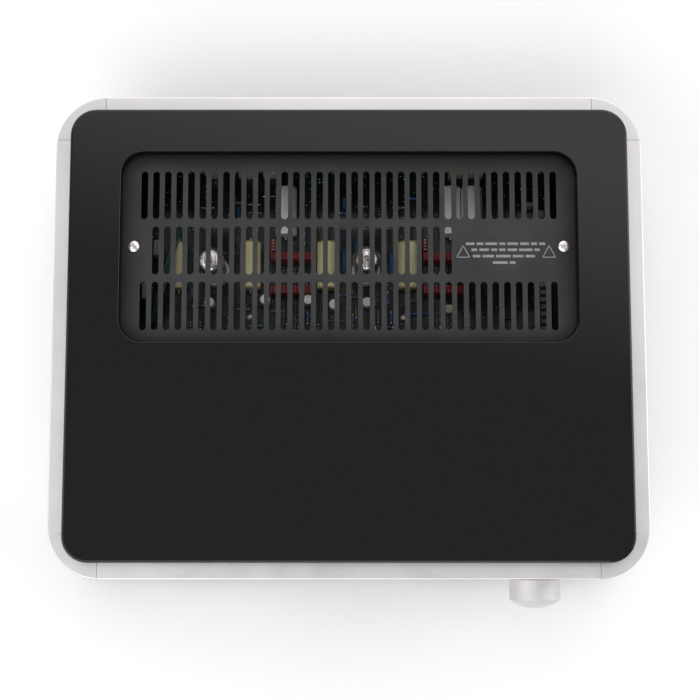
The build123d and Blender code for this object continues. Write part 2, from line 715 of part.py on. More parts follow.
# ---------------------------------------------------------------- main board, power board, standoffs, screws
with BuildPart() as main_board:
    with BuildSketch(level(Z_BOARD - BOARD_T)):
        with Locations(spot(0, MAIN_BOARD_SHIFT)):
            Rectangle(*MAIN_BOARD)
        with Locations(*BOARD_SPOTS[:7]):
            Circle(BOARD_SCREW_D / 2, mode=Mode.SUBTRACT)
    extrude(amount=BOARD_T)
write(main_board.part, "main_board")

with BuildPart() as power_board:
    with BuildSketch(level(Z_BOARD - BOARD_T)):
        with Locations(spot(*POWER_BOARD_PLACE)):
            Rectangle(*POWER_BOARD)
        with Locations(*BOARD_SPOTS[7:]):
            Circle(BOARD_SCREW_D / 2, mode=Mode.SUBTRACT)
    extrude(amount=BOARD_T)
write(power_board.part, "power_board")

with BuildPart() as standoff:
    with BuildSketch(level(Z_FRAME)):
        RegularPolygon(STANDOFF_AF / 2, 6, major_radius=False)
        Circle(BOARD_SCREW_D / 2, mode=Mode.SUBTRACT)
    extrude(amount=STANDOFF_H)
write(copies(standoff.part, BOARD_SPOTS), "board_standoffs")

board_screw = pan_screw(
    BOARD_SCREW_D, BOARD_T + BOARD_SCREW_GRIP, BOARD_SCREW_HEAD_D, BOARD_SCREW_HEAD_H
)
write(copies(board_screw, [Location((x, y, Z_BOARD)) for x, y in BOARD_SPOTS]), "board_screws")

# ---------------------------------------------------------------- tubes and sockets
PIN_ANGLES = [PIN_STEP * (index + 1) - 90.0 for index in range(PIN_COUNT)]
PIN_PLACES = [
    (PIN_CIRCLE_D / 2 * cos(radians(angle)), PIN_CIRCLE_D / 2 * sin(radians(angle)))
    for angle in PIN_ANGLES
]
TUBE_R = TUBE_D / 2
SHOULDER_H = TUBE_H - TUBE_TIP        # where the glass starts to close


def glass_profile(inset):
    """Half section of the bottle at a tube's own axis, shrunk inward by inset."""
    radius = TUBE_R - inset
    tip_r = TIP_R - inset
    dome_top = SHOULDER_H + TUBE_DOME - inset
    with BuildLine() as outline:
        Polyline(
            (0, inset), (radius - TUBE_BASE_BEVEL, inset), (radius, inset + TUBE_BASE_BEVEL),
            (radius, SHOULDER_H),
        )
        ThreePointArc((radius, SHOULDER_H), (0.8 * radius, SHOULDER_H + 0.6 * TUBE_DOME), (tip_r, dome_top))
        Polyline(
            (tip_r, dome_top), (tip_r - TIP_TAPER, TUBE_H - TIP_BEVEL - inset), (0, TUBE_H - inset),
            (0, inset),
        )
    make_face(outline.edges())


with BuildPart() as tube_glass:
    with BuildSketch(Plane.XZ):
        glass_profile(0)
    revolve(axis=Axis.Z)
    with BuildSketch(Plane.XZ):
        glass_profile(TUBE_WALL)
    revolve(axis=Axis.Z, mode=Mode.SUBTRACT)

with BuildPart() as tube_inner:
    for z in MICA_Z:
        with BuildSketch(level(z)):
            Circle(TUBE_R - TUBE_WALL - MICA_CLEAR)
        extrude(amount=MICA_T)
    with BuildSketch(level(MICA_Z[0] + MICA_T)):
        with Locations((-PLATE_BOX_X, 0), (PLATE_BOX_X, 0)):
            RectangleRounded(*PLATE_BOX, PLATE_BOX_R)
    extrude(amount=MICA_Z[1] - MICA_Z[0] - MICA_T)
    with BuildSketch(level(MICA_Z[1] + MICA_T)):
        Rectangle(GETTER_POST, GETTER_POST)
    extrude(amount=GETTER_POST_H)
    with BuildSketch(level(MICA_Z[1] + MICA_T + GETTER_POST_H)):
        Circle(GETTER_D / 2)
    extrude(amount=GETTER_T)
    with BuildSketch(level(-PIN_L)):
        with Locations(*PIN_PLACES):
            Circle(PIN_D / 2)
    extrude(amount=PIN_L)

with BuildPart() as tube_socket:
    with BuildSketch(level(Z_BOARD)):
        Circle(SOCKET_D / 2)
    extrude(amount=SOCKET_H)
    fillet(tube_socket.edges().group_by(Axis.Z)[-1], SOCKET_ROUND)
    with BuildSketch(level(Z_TUBE)):
        with Locations(*PIN_PLACES):
            Circle(PIN_D / 2 + PIN_CLEAR)
        Circle(SOCKET_HOLE_D / 2)
    extrude(amount=-(PIN_L + 1.0), mode=Mode.SUBTRACT)

for side, place in TUBE_SPOTS.items():
    x, y = spot(*place)
    write(copies(tube_glass.part, [Location((x, y, Z_TUBE))]), f"tube_{side}")
    write(copies(tube_inner.part, [Location((x, y, Z_TUBE))]), f"tube_electrodes_{side}")
    write(copies(tube_socket.part, [(x, y)]), f"tube_socket_{side}")


# ---------------------------------------------------------------- capacitors, shields and relays
def lying_can(place, diameter, length, rounding):
    """Round capacitor lying front to back on the main board."""
    x, y = spot(*place)
    with BuildPart() as can:
        front_end = (x, y - length / 2, Z_BOARD + diameter / 2)
        with BuildSketch(Plane(front_end, x_dir=(-1, 0, 0), z_dir=(0, 1, 0))):
            Circle(diameter / 2)
        extrude(amount=length)
        fillet(can.edges(), rounding)
    return can.part


for number, (place, diameter) in enumerate(zip(FILM_SPOTS, FILM_DIAMETERS), start=1):
    write(lying_can(place, diameter, FILM_L, FILM_ROUND), f"film_capacitor_{number}")
for number, place in enumerate(CAN_SPOTS, start=1):
    write(lying_can(place, CAN_D, CAN_L, CAN_ROUND), f"can_capacitor_{number}")


def standing_boxes(places, size, rounding):
    """Equal rounded boxes standing on the main board."""
    with BuildPart() as boxes:
        with BuildSketch(level(Z_BOARD)):
            with Locations(*[spot(*place) for place in places]):
                Rectangle(size[0], size[1])
        extrude(amount=size[2])
        fillet(boxes.edges().group_by(Axis.Z)[-1], rounding)
    return boxes.part


write(standing_boxes(BOX_SPOTS, BOX_CAP, BOX_ROUND), "box_capacitors")
write(standing_boxes(RELAY_SPOTS, RELAY, RELAY_ROUND), "input_relays")

with BuildPart() as small_capacitors:
    with BuildSketch(level(Z_BOARD)):
        with Locations(*[spot(*place) for place in UPRIGHT_SPOTS]):
            Circle(UPRIGHT_D / 2)
    extrude(amount=UPRIGHT_H)
    fillet(small_capacitors.edges().group_by(Axis.Z)[-1], UPRIGHT_ROUND)
write(small_capacitors.part, "small_capacitors")

with BuildPart() as tube_shields:
    with BuildSketch(level(Z_BOARD)):
        for x, y, width in SHIELDS:
            with Locations(spot(x, y)):
                Rectangle(width, SHIELD_T)
    extrude(amount=SHIELD_H)
write(tube_shields.part, "tube_shields")

# ---------------------------------------------------------------- power transformer and filter capacitors
toroid_x, toroid_y = TOROID_SPOT
ring_mid = (TOROID_D + TOROID_HOLE) / 4
ring_w = (TOROID_D - TOROID_HOLE) / 2

with BuildPart() as power_transformer:
    with BuildSketch(Plane(origin=(toroid_x, toroid_y, Z_FRAME), x_dir=(1, 0, 0), z_dir=(0, -1, 0))):
        with Locations((ring_mid, TOROID_H / 2)):
            RectangleRounded(ring_w, TOROID_H, TOROID_ROUND)
    revolve(axis=Axis((toroid_x, toroid_y, 0), (0, 0, 1)))
write(power_transformer.part, "power_transformer")

with BuildPart() as transformer_mount:
    with BuildSketch(level(Z_FRAME + TOROID_H)):
        with Locations(TOROID_SPOT):
            Circle(DISH_D / 2)
            Circle(BOLT_D / 2, mode=Mode.SUBTRACT)
    extrude(amount=DISH_T)
    with BuildSketch(level(Z_FRAME + TOROID_H + DISH_T)):
        with Locations(TOROID_SPOT):
            RegularPolygon(BOLT_NUT_AF / 2, 6, major_radius=False)
            Circle(BOLT_D / 2, mode=Mode.SUBTRACT)
    extrude(amount=BOLT_NUT_T)
    with BuildSketch(level(FOOT_H)):
        with Locations(TOROID_SPOT):
            Circle(BOLT_D / 2)
    extrude(amount=PLATE_T + TOROID_H + DISH_T + BOLT_END)
write(transformer_mount.part, "transformer_mount")

with BuildPart() as filter_capacitors:
    with BuildSketch(level(Z_BOARD)):
        with Locations(spot(*POWER_BOARD_PLACE)):
            with GridLocations(*FILTER_PITCH, 3, 2):
                Circle(FILTER_D / 2)
    extrude(amount=FILTER_H)
    fillet(filter_capacitors.edges().group_by(Axis.Z)[-1], FILTER_ROUND)
write(filter_capacitors.part, "filter_capacitors")

# ---------------------------------------------------------------- phono jacks
with BuildPart() as phono_jack:
    with BuildSketch(level(0)):
        RegularPolygon(JACK_NUT_AF / 2, 6, major_radius=False)
    extrude(amount=JACK_NUT_T)
    with BuildSketch(level(JACK_NUT_T)):
        Circle(JACK_SHELL_D / 2)
    extrude(amount=REAR_REACH + REAR_RECESS - JACK_NUT_T)
    fillet(phono_jack.edges().group_by(Axis.Z)[-1], JACK_ROUND)
    with BuildSketch(level(0)):
        Circle(JACK_HOLE_D / 2)
    extrude(amount=-JACK_BODY_L)
    with BuildSketch(level(REAR_REACH + REAR_RECESS)):
        Circle(JACK_BORE_D / 2)
    extrude(amount=-JACK_BORE_L, mode=Mode.SUBTRACT)
    with BuildSketch(level(REAR_REACH + REAR_RECESS)):
        Circle(JACK_MOUTH_D / 2)
    extrude(amount=-JACK_MOUTH, mode=Mode.SUBTRACT)
jack_places = [rear_face(x, z).location for x, z in JACK_SPOTS]
write(copies(phono_jack.part, jack_places), "phono_jacks")

# ---------------------------------------------------------------- mains inlet module and its rocker
Y_FLANGE = Y_REAR_FACE + INLET_FLANGE_T
PIVOT = (INLET_X + ROCKER_SHIFT, Y_FLANGE - ROCKER_PIVOT, INLET_Z)
WELL_DEPTH = ROCKER_PIVOT + ROCKER_R + ROCKER_CLEAR
WELL_W = ROCKER_W + 2 * ROCKER_SIDE_CLEAR
WELL_H = 2 * (ROCKER_R + ROCKER_CLEAR)

with BuildPart() as mains_inlet:
    with BuildSketch(rear_face(INLET_X, INLET_Z)):
        RectangleRounded(*INLET_FLANGE, INLET_BORDER)
    extrude(amount=INLET_FLANGE_T)
    with BuildSketch(rear_face(INLET_X, INLET_Z)):
        Rectangle(*INLET_BODY)
    extrude(amount=-INLET_DEPTH)
    with BuildSketch(rear_face(INLET_X + PLUG_SHIFT, INLET_Z, INLET_FLANGE_T)):
        with BuildLine():
            Polyline(
                (-PLUG_W / 2, -PLUG_H / 2), (PLUG_W / 2, -PLUG_H / 2),
                (PLUG_W / 2, PLUG_H / 2 - PLUG_CHAMFER), (PLUG_W / 2 - PLUG_CHAMFER, PLUG_H / 2),
                (-PLUG_W / 2 + PLUG_CHAMFER, PLUG_H / 2),
                (-PLUG_W / 2, PLUG_H / 2 - PLUG_CHAMFER), close=True,
            )
        make_face()
    extrude(amount=-PLUG_DEPTH, mode=Mode.SUBTRACT)
    with BuildSketch(rear_face(PIVOT[0], INLET_Z, INLET_FLANGE_T)):
        Rectangle(WELL_W, WELL_H)
    extrude(amount=-WELL_DEPTH, mode=Mode.SUBTRACT)
    with BuildSketch(Plane.YZ.offset(PIVOT[0] - WELL_W / 2 - ROCKER_PIN_L)):
        with Locations((PIVOT[1], PIVOT[2])):
            Circle(ROCKER_PIN_D / 2 + SHAFT_CLEAR)
    extrude(amount=WELL_W + 2 * ROCKER_PIN_L, mode=Mode.SUBTRACT)
write(mains_inlet.part, "mains_inlet")

slope = sin(radians(ROCKER_TILT)) / cos(radians(ROCKER_TILT))
far = 2 * ROCKER_R
pressed = 2 * slope * far

with BuildPart() as mains_rocker:
    with BuildSketch(Plane.YZ.offset(PIVOT[0] - ROCKER_W / 2)):
        with Locations((PIVOT[1], PIVOT[2])):
            Circle(ROCKER_R)
        with BuildLine():
            Polyline(
                (PIVOT[1] + ROCKER_FACE, PIVOT[2]), (PIVOT[1] + ROCKER_FACE - pressed, PIVOT[2] + far),
                (PIVOT[1] + far, PIVOT[2] + far), (PIVOT[1] + far, PIVOT[2] - far),
                (PIVOT[1] + ROCKER_FACE, PIVOT[2] - far), close=True,
            )
        make_face(mode=Mode.SUBTRACT)
    extrude(amount=ROCKER_W)
    with BuildSketch(Plane.YZ.offset(PIVOT[0] - WELL_W / 2 - ROCKER_PIN_L + ROCKER_PIN_END)):
        with Locations((PIVOT[1], PIVOT[2])):
            Circle(ROCKER_PIN_D / 2)
    extrude(amount=WELL_W + 2 * ROCKER_PIN_L - 2 * ROCKER_PIN_END)
write(mains_rocker.part, "mains_rocker")

# ---------------------------------------------------------------- signal leads over the left film capacitor
LEAD_ROUTE = [
    (-128, 98, 1.0), (-129, 94, 18), (-134, 68, 28), (-142, 40, 27), (-149, 16, 16), (-150, 12, 1.0),
]

with BuildPart() as signal_leads:
    for index in range(LEAD_COUNT):
        shift = (index - (LEAD_COUNT - 1) / 2) * LEAD_PITCH
        route = [Vector(x + shift, Y_MID + y, Z_BOARD + z) for x, y, z in LEAD_ROUTE]
        with BuildLine() as path:
            FilletPolyline(*route, radius=LEAD_BEND)
        with BuildSketch(Plane(origin=path.line @ 0, z_dir=path.line % 0)):
            Circle(LEAD_D / 2)
        sweep(path=path.line)
write(signal_leads.part, "signal_leads")
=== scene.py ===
# %% [markdown]
# # A tube line amplifier, finished in Blender
# This lesson never moves those pieces: it gives each one a real finish, and adds small parts that are only
# there to be seen.

# %% Load the frame
import math
import random

import bmesh
import bpy
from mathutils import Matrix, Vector


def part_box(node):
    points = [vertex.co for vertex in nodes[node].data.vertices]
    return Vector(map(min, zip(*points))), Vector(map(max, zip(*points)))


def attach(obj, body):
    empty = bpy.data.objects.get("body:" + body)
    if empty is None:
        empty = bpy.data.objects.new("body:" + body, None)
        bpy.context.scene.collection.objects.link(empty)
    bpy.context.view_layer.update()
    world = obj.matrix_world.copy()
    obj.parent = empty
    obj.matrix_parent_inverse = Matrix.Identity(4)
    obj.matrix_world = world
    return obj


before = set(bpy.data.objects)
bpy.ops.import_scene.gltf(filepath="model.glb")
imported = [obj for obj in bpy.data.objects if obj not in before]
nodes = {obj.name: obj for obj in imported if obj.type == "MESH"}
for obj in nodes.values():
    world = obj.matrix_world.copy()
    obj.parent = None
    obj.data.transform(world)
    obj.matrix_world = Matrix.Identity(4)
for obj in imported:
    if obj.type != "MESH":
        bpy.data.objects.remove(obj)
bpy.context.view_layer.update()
MM = 0.001


# %% [markdown]
# ## A small kit for finishes
# A finish is a node tree. The same few building blocks come back in all of them: a cloudy noise for uneven
# colour, a finer noise for grain, a range that turns noise into roughness, and a bump that gives relief.
# Object coordinates are in metres here, so a noise scale of 1000 has features about a millimetre across.

# %% Finish helper
class Finish:
    """One material with its Principled shader and short helpers for procedural detail."""

    def __init__(self, name, metallic=0.0, **fixed):
        self.material = bpy.data.materials.new(name)
        self.material.use_nodes = True
        self.tree = self.material.node_tree
        self.shader = self.tree.nodes["Principled BSDF"]
        self.shader.inputs["Metallic"].default_value = metallic
        for socket, value in fixed.items():
            self.shader.inputs[socket.replace("_", " ")].default_value = value
        self.place = self.node("ShaderNodeTexCoord").outputs["Object"]

    def node(self, kind, **values):
        made = self.tree.nodes.new(kind)
        for key, value in values.items():
            setattr(made, key, value)
        return made

    def link(self, source, target):
        self.tree.links.new(source, target)

    def stretched(self, scale, shift=(0, 0, 0)):
        mapping = self.node("ShaderNodeMapping")
        mapping.inputs["Scale"].default_value = scale
        mapping.inputs["Location"].default_value = shift
        self.link(self.place, mapping.inputs["Vector"])
        return mapping.outputs["Vector"]

    def noise(self, scale, detail=3.0, stretch=(1, 1, 1), shift=(0, 0, 0)):
        made = self.node("ShaderNodeTexNoise")
        made.inputs["Scale"].default_value = scale
        made.inputs["Detail"].default_value = detail
        self.link(self.stretched(stretch, shift), made.inputs["Vector"])
        return made.outputs["Fac"]

    def cells(self, scale, feature="F1", stretch=(1, 1, 1)):
        made = self.node("ShaderNodeTexVoronoi", feature=feature)
        made.inputs["Scale"].default_value = scale
        self.link(self.stretched(stretch), made.inputs["Vector"])
        return made.outputs["Distance"]

    def axis(self, name):
        split = self.node("ShaderNodeSeparateXYZ")
        self.link(self.place, split.inputs["Vector"])
        return split.outputs[name]

    def span(self, source, from_low, from_high, to_low=0.0, to_high=1.0):
        made = self.node("ShaderNodeMapRange")
        limits = {"From Min": from_low, "From Max": from_high, "To Min": to_low, "To Max": to_high}
        for socket, value in limits.items():
            made.inputs[socket].default_value = value
        self.link(source, made.inputs["Value"])
        return made.outputs["Result"]

    def maths(self, operation, first, second=0.0):
        made = self.node("ShaderNodeMath", operation=operation)
        for socket, value in zip(made.inputs, (first, second)):
            if isinstance(value, (int, float)):
                socket.default_value = value
            else:
                self.link(value, socket)
        return made.outputs[0]

    def blend(self, factor, first, second):
        made = self.node("ShaderNodeMix", data_type="RGBA")
        self.link(factor, made.inputs[0])
        for socket, value in ((made.inputs[6], first), (made.inputs[7], second)):
            if isinstance(value, tuple):
                socket.default_value = (*value, 1.0)
            else:
                self.link(value, socket)
        return made.outputs[2]

    def colour(self, source):
        self.link(source, self.shader.inputs["Base Color"])

    def roughness(self, source):
        self.link(source, self.shader.inputs["Roughness"])

    def relief(self, height, strength, distance, under=None):
        made = self.node("ShaderNodeBump")
        made.inputs["Strength"].default_value = strength
        made.inputs["Distance"].default_value = distance
        self.link(height, made.inputs["Height"])
        if under is not None:
            self.link(under, made.inputs["Normal"])
        self.link(made.outputs["Normal"], self.shader.inputs["Normal"])
        return made.outputs["Normal"]

    def worn_edges(self, radius, low=0.02, high=0.3):
        """A mask that is 1 along outer edges, where the rounded normal leaves the true one."""
        bevel = self.node("ShaderNodeBevel", samples=4)
        bevel.inputs["Radius"].default_value = radius
        geometry = self.node("ShaderNodeNewGeometry")
        dot = self.node("ShaderNodeVectorMath", operation="DOT_PRODUCT")
        self.link(bevel.outputs["Normal"], dot.inputs[0])
        self.link(geometry.outputs["Normal"], dot.inputs[1])
        return self.span(self.maths("SUBTRACT", 1.0, dot.outputs["Value"]), low, high)


def dress(finish, *names):
    """Give carried-over CAD pieces their finish."""
    for name in names:
        data = nodes[name].data
        data.materials.clear()
        data.materials.append(finish.material)
    print(finish.material.name, "on", len(names), "pieces")


def plain(name, dark, light, cloud, grain, rough, depth, metallic=0.0, **fixed):
    """The common finish: cloudy colour between dark and light, grainy relief, uneven roughness."""
    made = Finish(name, metallic, **fixed)
    made.colour(made.blend(made.span(made.noise(cloud), 0.3, 0.7), dark, light))
    made.roughness(made.span(made.noise(cloud * 2.3, shift=(3, 1, 2)), 0.3, 0.7, *rough))
    made.relief(made.noise(grain, 2.0), 0.5, depth * MM)
    return made


# %% [markdown]
# ## The aluminium frame
# Four corner posts and four rails are sawn from extrusions, bead-blasted to an even silver grain and clear
# anodised. A painted texture could give the grain, but it would stretch over the rounded posts, so the grain
# is a fine noise in object space. The posts get a slightly darker copy of the rails' finish: painted shade
# that tones the corners down.

# %% Frame finishes
def blasted(name, tone):
    made = Finish(name, 1.0)
    low, high = (tuple(channel * f for channel in tone) for f in (0.95, 1.03))
    body = made.blend(made.span(made.noise(9.0), 0.3, 0.7), low, high)
    edge = made.worn_edges(0.8 * MM)
    made.colour(made.blend(made.maths("MULTIPLY", edge, 0.25), body, (0.93, 0.92, 0.92)))
    made.roughness(made.span(made.noise(60.0, 5.0), 0.25, 0.75, 0.40, 0.50))
    made.relief(made.noise(2600.0, 2.0), 0.35, 0.05 * MM)
    return made


dress(
    blasted("blasted_rails", (0.83, 0.81, 0.825)),
    "front_panel", "rear_rail", "side_panel_left", "side_panel_right",
)
# The posts' darker tone is painted shade on the corners.
dress(
    blasted("blasted_posts", (0.80, 0.785, 0.80)),
    "corner_front_left", "corner_front_right", "corner_rear_left", "corner_rear_right",
)

# %% [markdown]
# ## The gloss slab
# The slab is polished black acrylic. Black gloss shows hardly any colour of its own, so what makes it look
# real is in its roughness: a nearly perfect mirror, with faint wiping marks and a few specks of dust.

# %% Gloss slab finish
slab = Finish("gloss_slab", Specular_IOR_Level=0.5)
dust = slab.span(slab.cells(420.0), 0.035, 0.0)
wipe = slab.noise(14.0, 6.0, (1.0, 3.5, 1.0))
slab.colour(slab.blend(slab.maths("MULTIPLY", dust, 0.12), (0.0045, 0.0044, 0.0046), (0.5, 0.5, 0.5)))
slab.roughness(slab.maths("ADD", slab.span(wipe, 0.35, 0.8, 0.025, 0.075), slab.maths("MULTIPLY", dust, 0.3)))
slab.relief(slab.noise(22.0, 2.0), 0.12, 0.02 * MM)
dress(slab, "top_panel")

# %% [markdown]
# ## Powder-coated sheet steel
# Hatch, ledge, base and connector panel are sheet steel under a black powder coat. Powder melts into a fine
# orange peel, so the relief is soft and about half a millimetre wide, and the coat wears thin on punched
# edges. The hatch plate sits in a well, so its colour darkens towards its edges: painted shade from the
# walls.

# %% Powder coats
def powder(name, tone, rough, worn, specular=0.5, shade=None):
    made = Finish(name, Specular_IOR_Level=specular)
    dark, light = (tuple(channel * f for channel in tone) for f in (0.85, 1.2))
    body = made.blend(made.span(made.noise(30.0, 4.0), 0.3, 0.7), dark, light)
    # An optional mask paints shade into the colour: near black where the mask is low.
    if shade:
        body = made.blend(shade(made), (0.005, 0.005, 0.005), body)
    edge = made.maths("MULTIPLY", made.worn_edges(0.4 * MM), worn)
    made.colour(made.blend(edge, body, (0.10, 0.10, 0.10)))
    made.roughness(made.span(made.noise(120.0, 3.0), 0.3, 0.7, *rough))
    made.relief(made.noise(1500.0, 2.0), 0.5, 0.06 * MM)
    return made


plate_low, plate_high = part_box("vent_hatch")


def painted_well_shade(made):
    """Painted shade from the well's walls: darker towards the plate's edges, most of all at the rear."""
    front_w, rear_w, side_w = 15 * MM, 17 * MM, 18 * MM
    front_tone, rear_tone, side_tone = 0.40, 0.12, 0.35
    front = made.span(made.axis("Y"), plate_low.y, plate_low.y + front_w, front_tone, 1.0)
    rear = made.span(made.axis("Y"), plate_high.y - rear_w, plate_high.y, 1.0, rear_tone)
    left = made.span(made.axis("X"), plate_low.x, plate_low.x + side_w, side_tone, 1.0)
    right = made.span(made.axis("X"), plate_high.x - side_w, plate_high.x, 1.0, side_tone)
    return made.maths("MULTIPLY", made.maths("MULTIPLY", front, rear), made.maths("MULTIPLY", left, right))


# The hatch coat carries painted shade from the well's walls along the plate's edges.
dress(powder("hatch_coat", (0.036, 0.0355, 0.036), (0.42, 0.52), 0.4, 0.22, painted_well_shade), "vent_hatch")
dress(powder("ledge_coat", (0.006, 0.006, 0.006), (0.5, 0.6), 0.1), "hatch_frame")
dress(powder("case_coat", (0.016, 0.016, 0.017), (0.45, 0.6), 0.3), "base_plate", "rear_panel")

# %% [markdown]
# ## Screws, knob and buttons
# The knob is turned from bar: its face shows fine rings around its own axis. A ring pattern is a wave of the
# distance from the axis, worked out from where the CAD put the knob.

# %% Turned aluminium
def turned(name, node, tone, pitch):
    low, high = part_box(node)
    middle = (low + high) / 2
    made = Finish(name, 1.0)
    off_x = made.maths("SUBTRACT", made.axis("X"), middle.x)
    off_z = made.maths("SUBTRACT", made.axis("Z"), middle.z)
    squares = made.maths("ADD", made.maths("POWER", off_x, 2.0), made.maths("POWER", off_z, 2.0))
    rings = made.maths("SINE", made.maths("MULTIPLY", made.maths("SQRT", squares), 2 * math.pi / pitch))
    cloud = made.span(made.noise(80.0), 0.3, 0.7)
    made.colour(made.blend(cloud, tuple(channel * 0.94 for channel in tone), tone))
    made.roughness(made.span(made.noise(300.0, 4.0), 0.3, 0.7, 0.56, 0.66))
    made.relief(rings, 0.10, 0.01 * MM)
    return made


dress(turned("turned_knob", "volume_knob", (0.76, 0.745, 0.755), 0.35 * MM), "volume_knob")
for button in ("power_button", "select_button_left", "select_button_right"):
    dress(turned(f"turned_{button}", button, (0.80, 0.79, 0.79), 0.3 * MM), button)

# %% [markdown]
# Screws and small turned parts are steel, bright or blackened, and the phono jacks are gold plated. They are
# small, so one cloudy finish each is enough: what tells them apart is colour and roughness.

# %% Screws and small metal
nickel = plain("nickel", (0.66, 0.62, 0.60), (0.88, 0.84, 0.81), 700, 2400, (0.26, 0.38), 0.02, 1.0)
dress(nickel, "hatch_screws", "board_screws", "board_standoffs")
black_zinc = plain("black_zinc", (0.02, 0.02, 0.02), (0.05, 0.05, 0.05), 500, 2400, (0.3, 0.45), 0.02, 0.6)
dress(black_zinc, "bottom_screws")
dress(
    plain("steel_parts", (0.42, 0.41, 0.39), (0.60, 0.59, 0.57), 300, 2500, (0.22, 0.36), 0.02, 1.0),
    "volume_shaft", "knob_grub_screw", "encoder_nut", "tube_shields",
)
dress(
    plain("zinc_plate", (0.52, 0.50, 0.40), (0.70, 0.68, 0.58), 120, 1800, (0.28, 0.42), 0.02, 1.0),
    "transformer_mount",
)
gold = plain("gold_plate", (0.72, 0.50, 0.16), (0.92, 0.70, 0.30), 260, 2500, (0.16, 0.28), 0.01, 1.0)
dress(gold, "phono_jacks")

# %% [markdown]
# ## Rubber, moulded plastic and the display window
# Moulded parts have a fine spark-eroded grain. Rubber is duller and collects pale dust in its hollows. The
# window is a smoked acrylic lens: nearly black, with a clean gloss, so the display behind it stays hidden.

# %% Plastics
FEET = [f"foot_{end}_{side}" for end in ("front", "rear") for side in ("left", "right")]
dress(plain("foot_rubber", (0.012, 0.012, 0.012), (0.035, 0.034, 0.033), 90, 900, (0.7, 0.88), 0.15), *FEET)
moulded = plain("moulded_black", (0.012, 0.012, 0.013), (0.022, 0.022, 0.023), 150, 1900, (0.38, 0.52), 0.06)
dress(
    moulded,
    "mains_inlet", "mains_rocker", "encoder_body", "power_switch", "select_switches", "display_module",
)
window = plain("smoked_window", (0.004, 0.004, 0.005), (0.009, 0.009, 0.011), 30, 40, (0.03, 0.08), 0.01)
dress(window, "display_window")

# %% [markdown]
# ## Circuit boards
# A solder mask is a thin green-black lacquer over copper tracks, and a track shows as a slightly raised,
# lighter line. Two brick patterns at right angles, thinned by a noise, give tracks that run and stop.

# %% Board finish
board = Finish("solder_mask", Coat_Weight=0.3)


def tracks(turn):
    made = board.node("ShaderNodeTexBrick", offset=0.37, squash=1.0)
    mapping = board.node("ShaderNodeMapping")
    mapping.inputs["Rotation"].default_value = (0, 0, turn)
    board.link(board.place, mapping.inputs["Vector"])
    board.link(mapping.outputs["Vector"], made.inputs["Vector"])
    sizes = {"Scale": 1.0, "Mortar Size": 0.5 * MM, "Brick Width": 31 * MM, "Row Height": 4.2 * MM}
    for socket, value in sizes.items():
        made.inputs[socket].default_value = value
    return made.outputs["Fac"]


copper = board.maths("MAXIMUM", tracks(0.0), tracks(math.pi / 2))
patchy = board.maths("MULTIPLY", copper, board.span(board.noise(45.0, 1.0), 0.45, 0.52))
MASK_DARK, MASK_LIGHT = (0.0012, 0.0040, 0.0036), (0.0022, 0.0065, 0.0058)
mask = board.blend(board.span(board.noise(18.0), 0.3, 0.7), MASK_DARK, MASK_LIGHT)
board.colour(board.blend(patchy, mask, (0.007, 0.026, 0.021)))
board.roughness(board.span(board.noise(200.0), 0.3, 0.7, 0.25, 0.4))
board.relief(patchy, 0.6, 0.05 * MM)
dress(board, "main_board", "power_board", "control_board")

# %% [markdown]
# ## Tubes
# The bottle is thin clear glass. Its crown carries the getter flash, a satin mirror of evaporated metal with
# a brown rim, which stops at an uneven line some way down. One material does both: height decides how much
# mirror covers the glass. Glass that keeps a little alpha stays cheap to trace and keeps the plates visible.

# %% Tube glass
low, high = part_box("tube_left")
crown = high.z
FLASH_FULL, FLASH_END = 12.0 * MM, 15.5 * MM
glass = Finish("tube_glass", IOR=1.5)
ragged = glass.maths("MULTIPLY", glass.noise(220.0, 3.0), 3.0 * MM)
depth = glass.maths("ADD", glass.maths("SUBTRACT", crown, glass.axis("Z")), ragged)
flash = glass.span(depth, FLASH_END, FLASH_FULL)
rim = glass.span(depth, FLASH_FULL - 2.5 * MM, FLASH_END - 1.0 * MM)
metal = glass.blend(rim, (0.88, 0.83, 0.81), (0.20, 0.13, 0.08))
glass.colour(glass.blend(flash, (0.92, 0.96, 0.95), metal))
glass.link(flash, glass.shader.inputs["Metallic"])
glass.link(glass.span(flash, 0.0, 1.0, 0.16, 1.0), glass.shader.inputs["Alpha"])
satin = glass.span(glass.noise(90.0), 0.3, 0.7, 0.03, 0.08)
glass.roughness(glass.maths("ADD", satin, glass.maths("MULTIPLY", flash, 0.22)))
glass.relief(glass.noise(70.0, 1.0), 0.1, 0.05 * MM)
dress(glass, "tube_left", "tube_right")

# %% [markdown]
# Inside the bottle the anodes are blackened nickel, dull so that they shed heat. The sockets are glazed
# ceramic: pale, with a thin gloss over a soft body.

# %% Tube insides and sockets
dress(
    plain("carbon_plate", (0.05, 0.05, 0.05), (0.16, 0.16, 0.155), 160, 1500, (0.45, 0.65), 0.05, 0.7),
    "tube_electrodes_left", "tube_electrodes_right",
)
dress(
    plain(
        "glazed_ceramic", (0.74, 0.72, 0.67), (0.84, 0.83, 0.79), 110, 700, (0.18, 0.3), 0.03, Coat_Weight=0.4
    ),
    "tube_socket_left", "tube_socket_right",
)

# %% [markdown]
# ## Capacitors
# A film capacitor is wound foil under yellow tape, with its ends filled with resin. The tape's turns show as
# faint lines along the body, and the ends are a deeper colour. The ends are found from the CAD box.

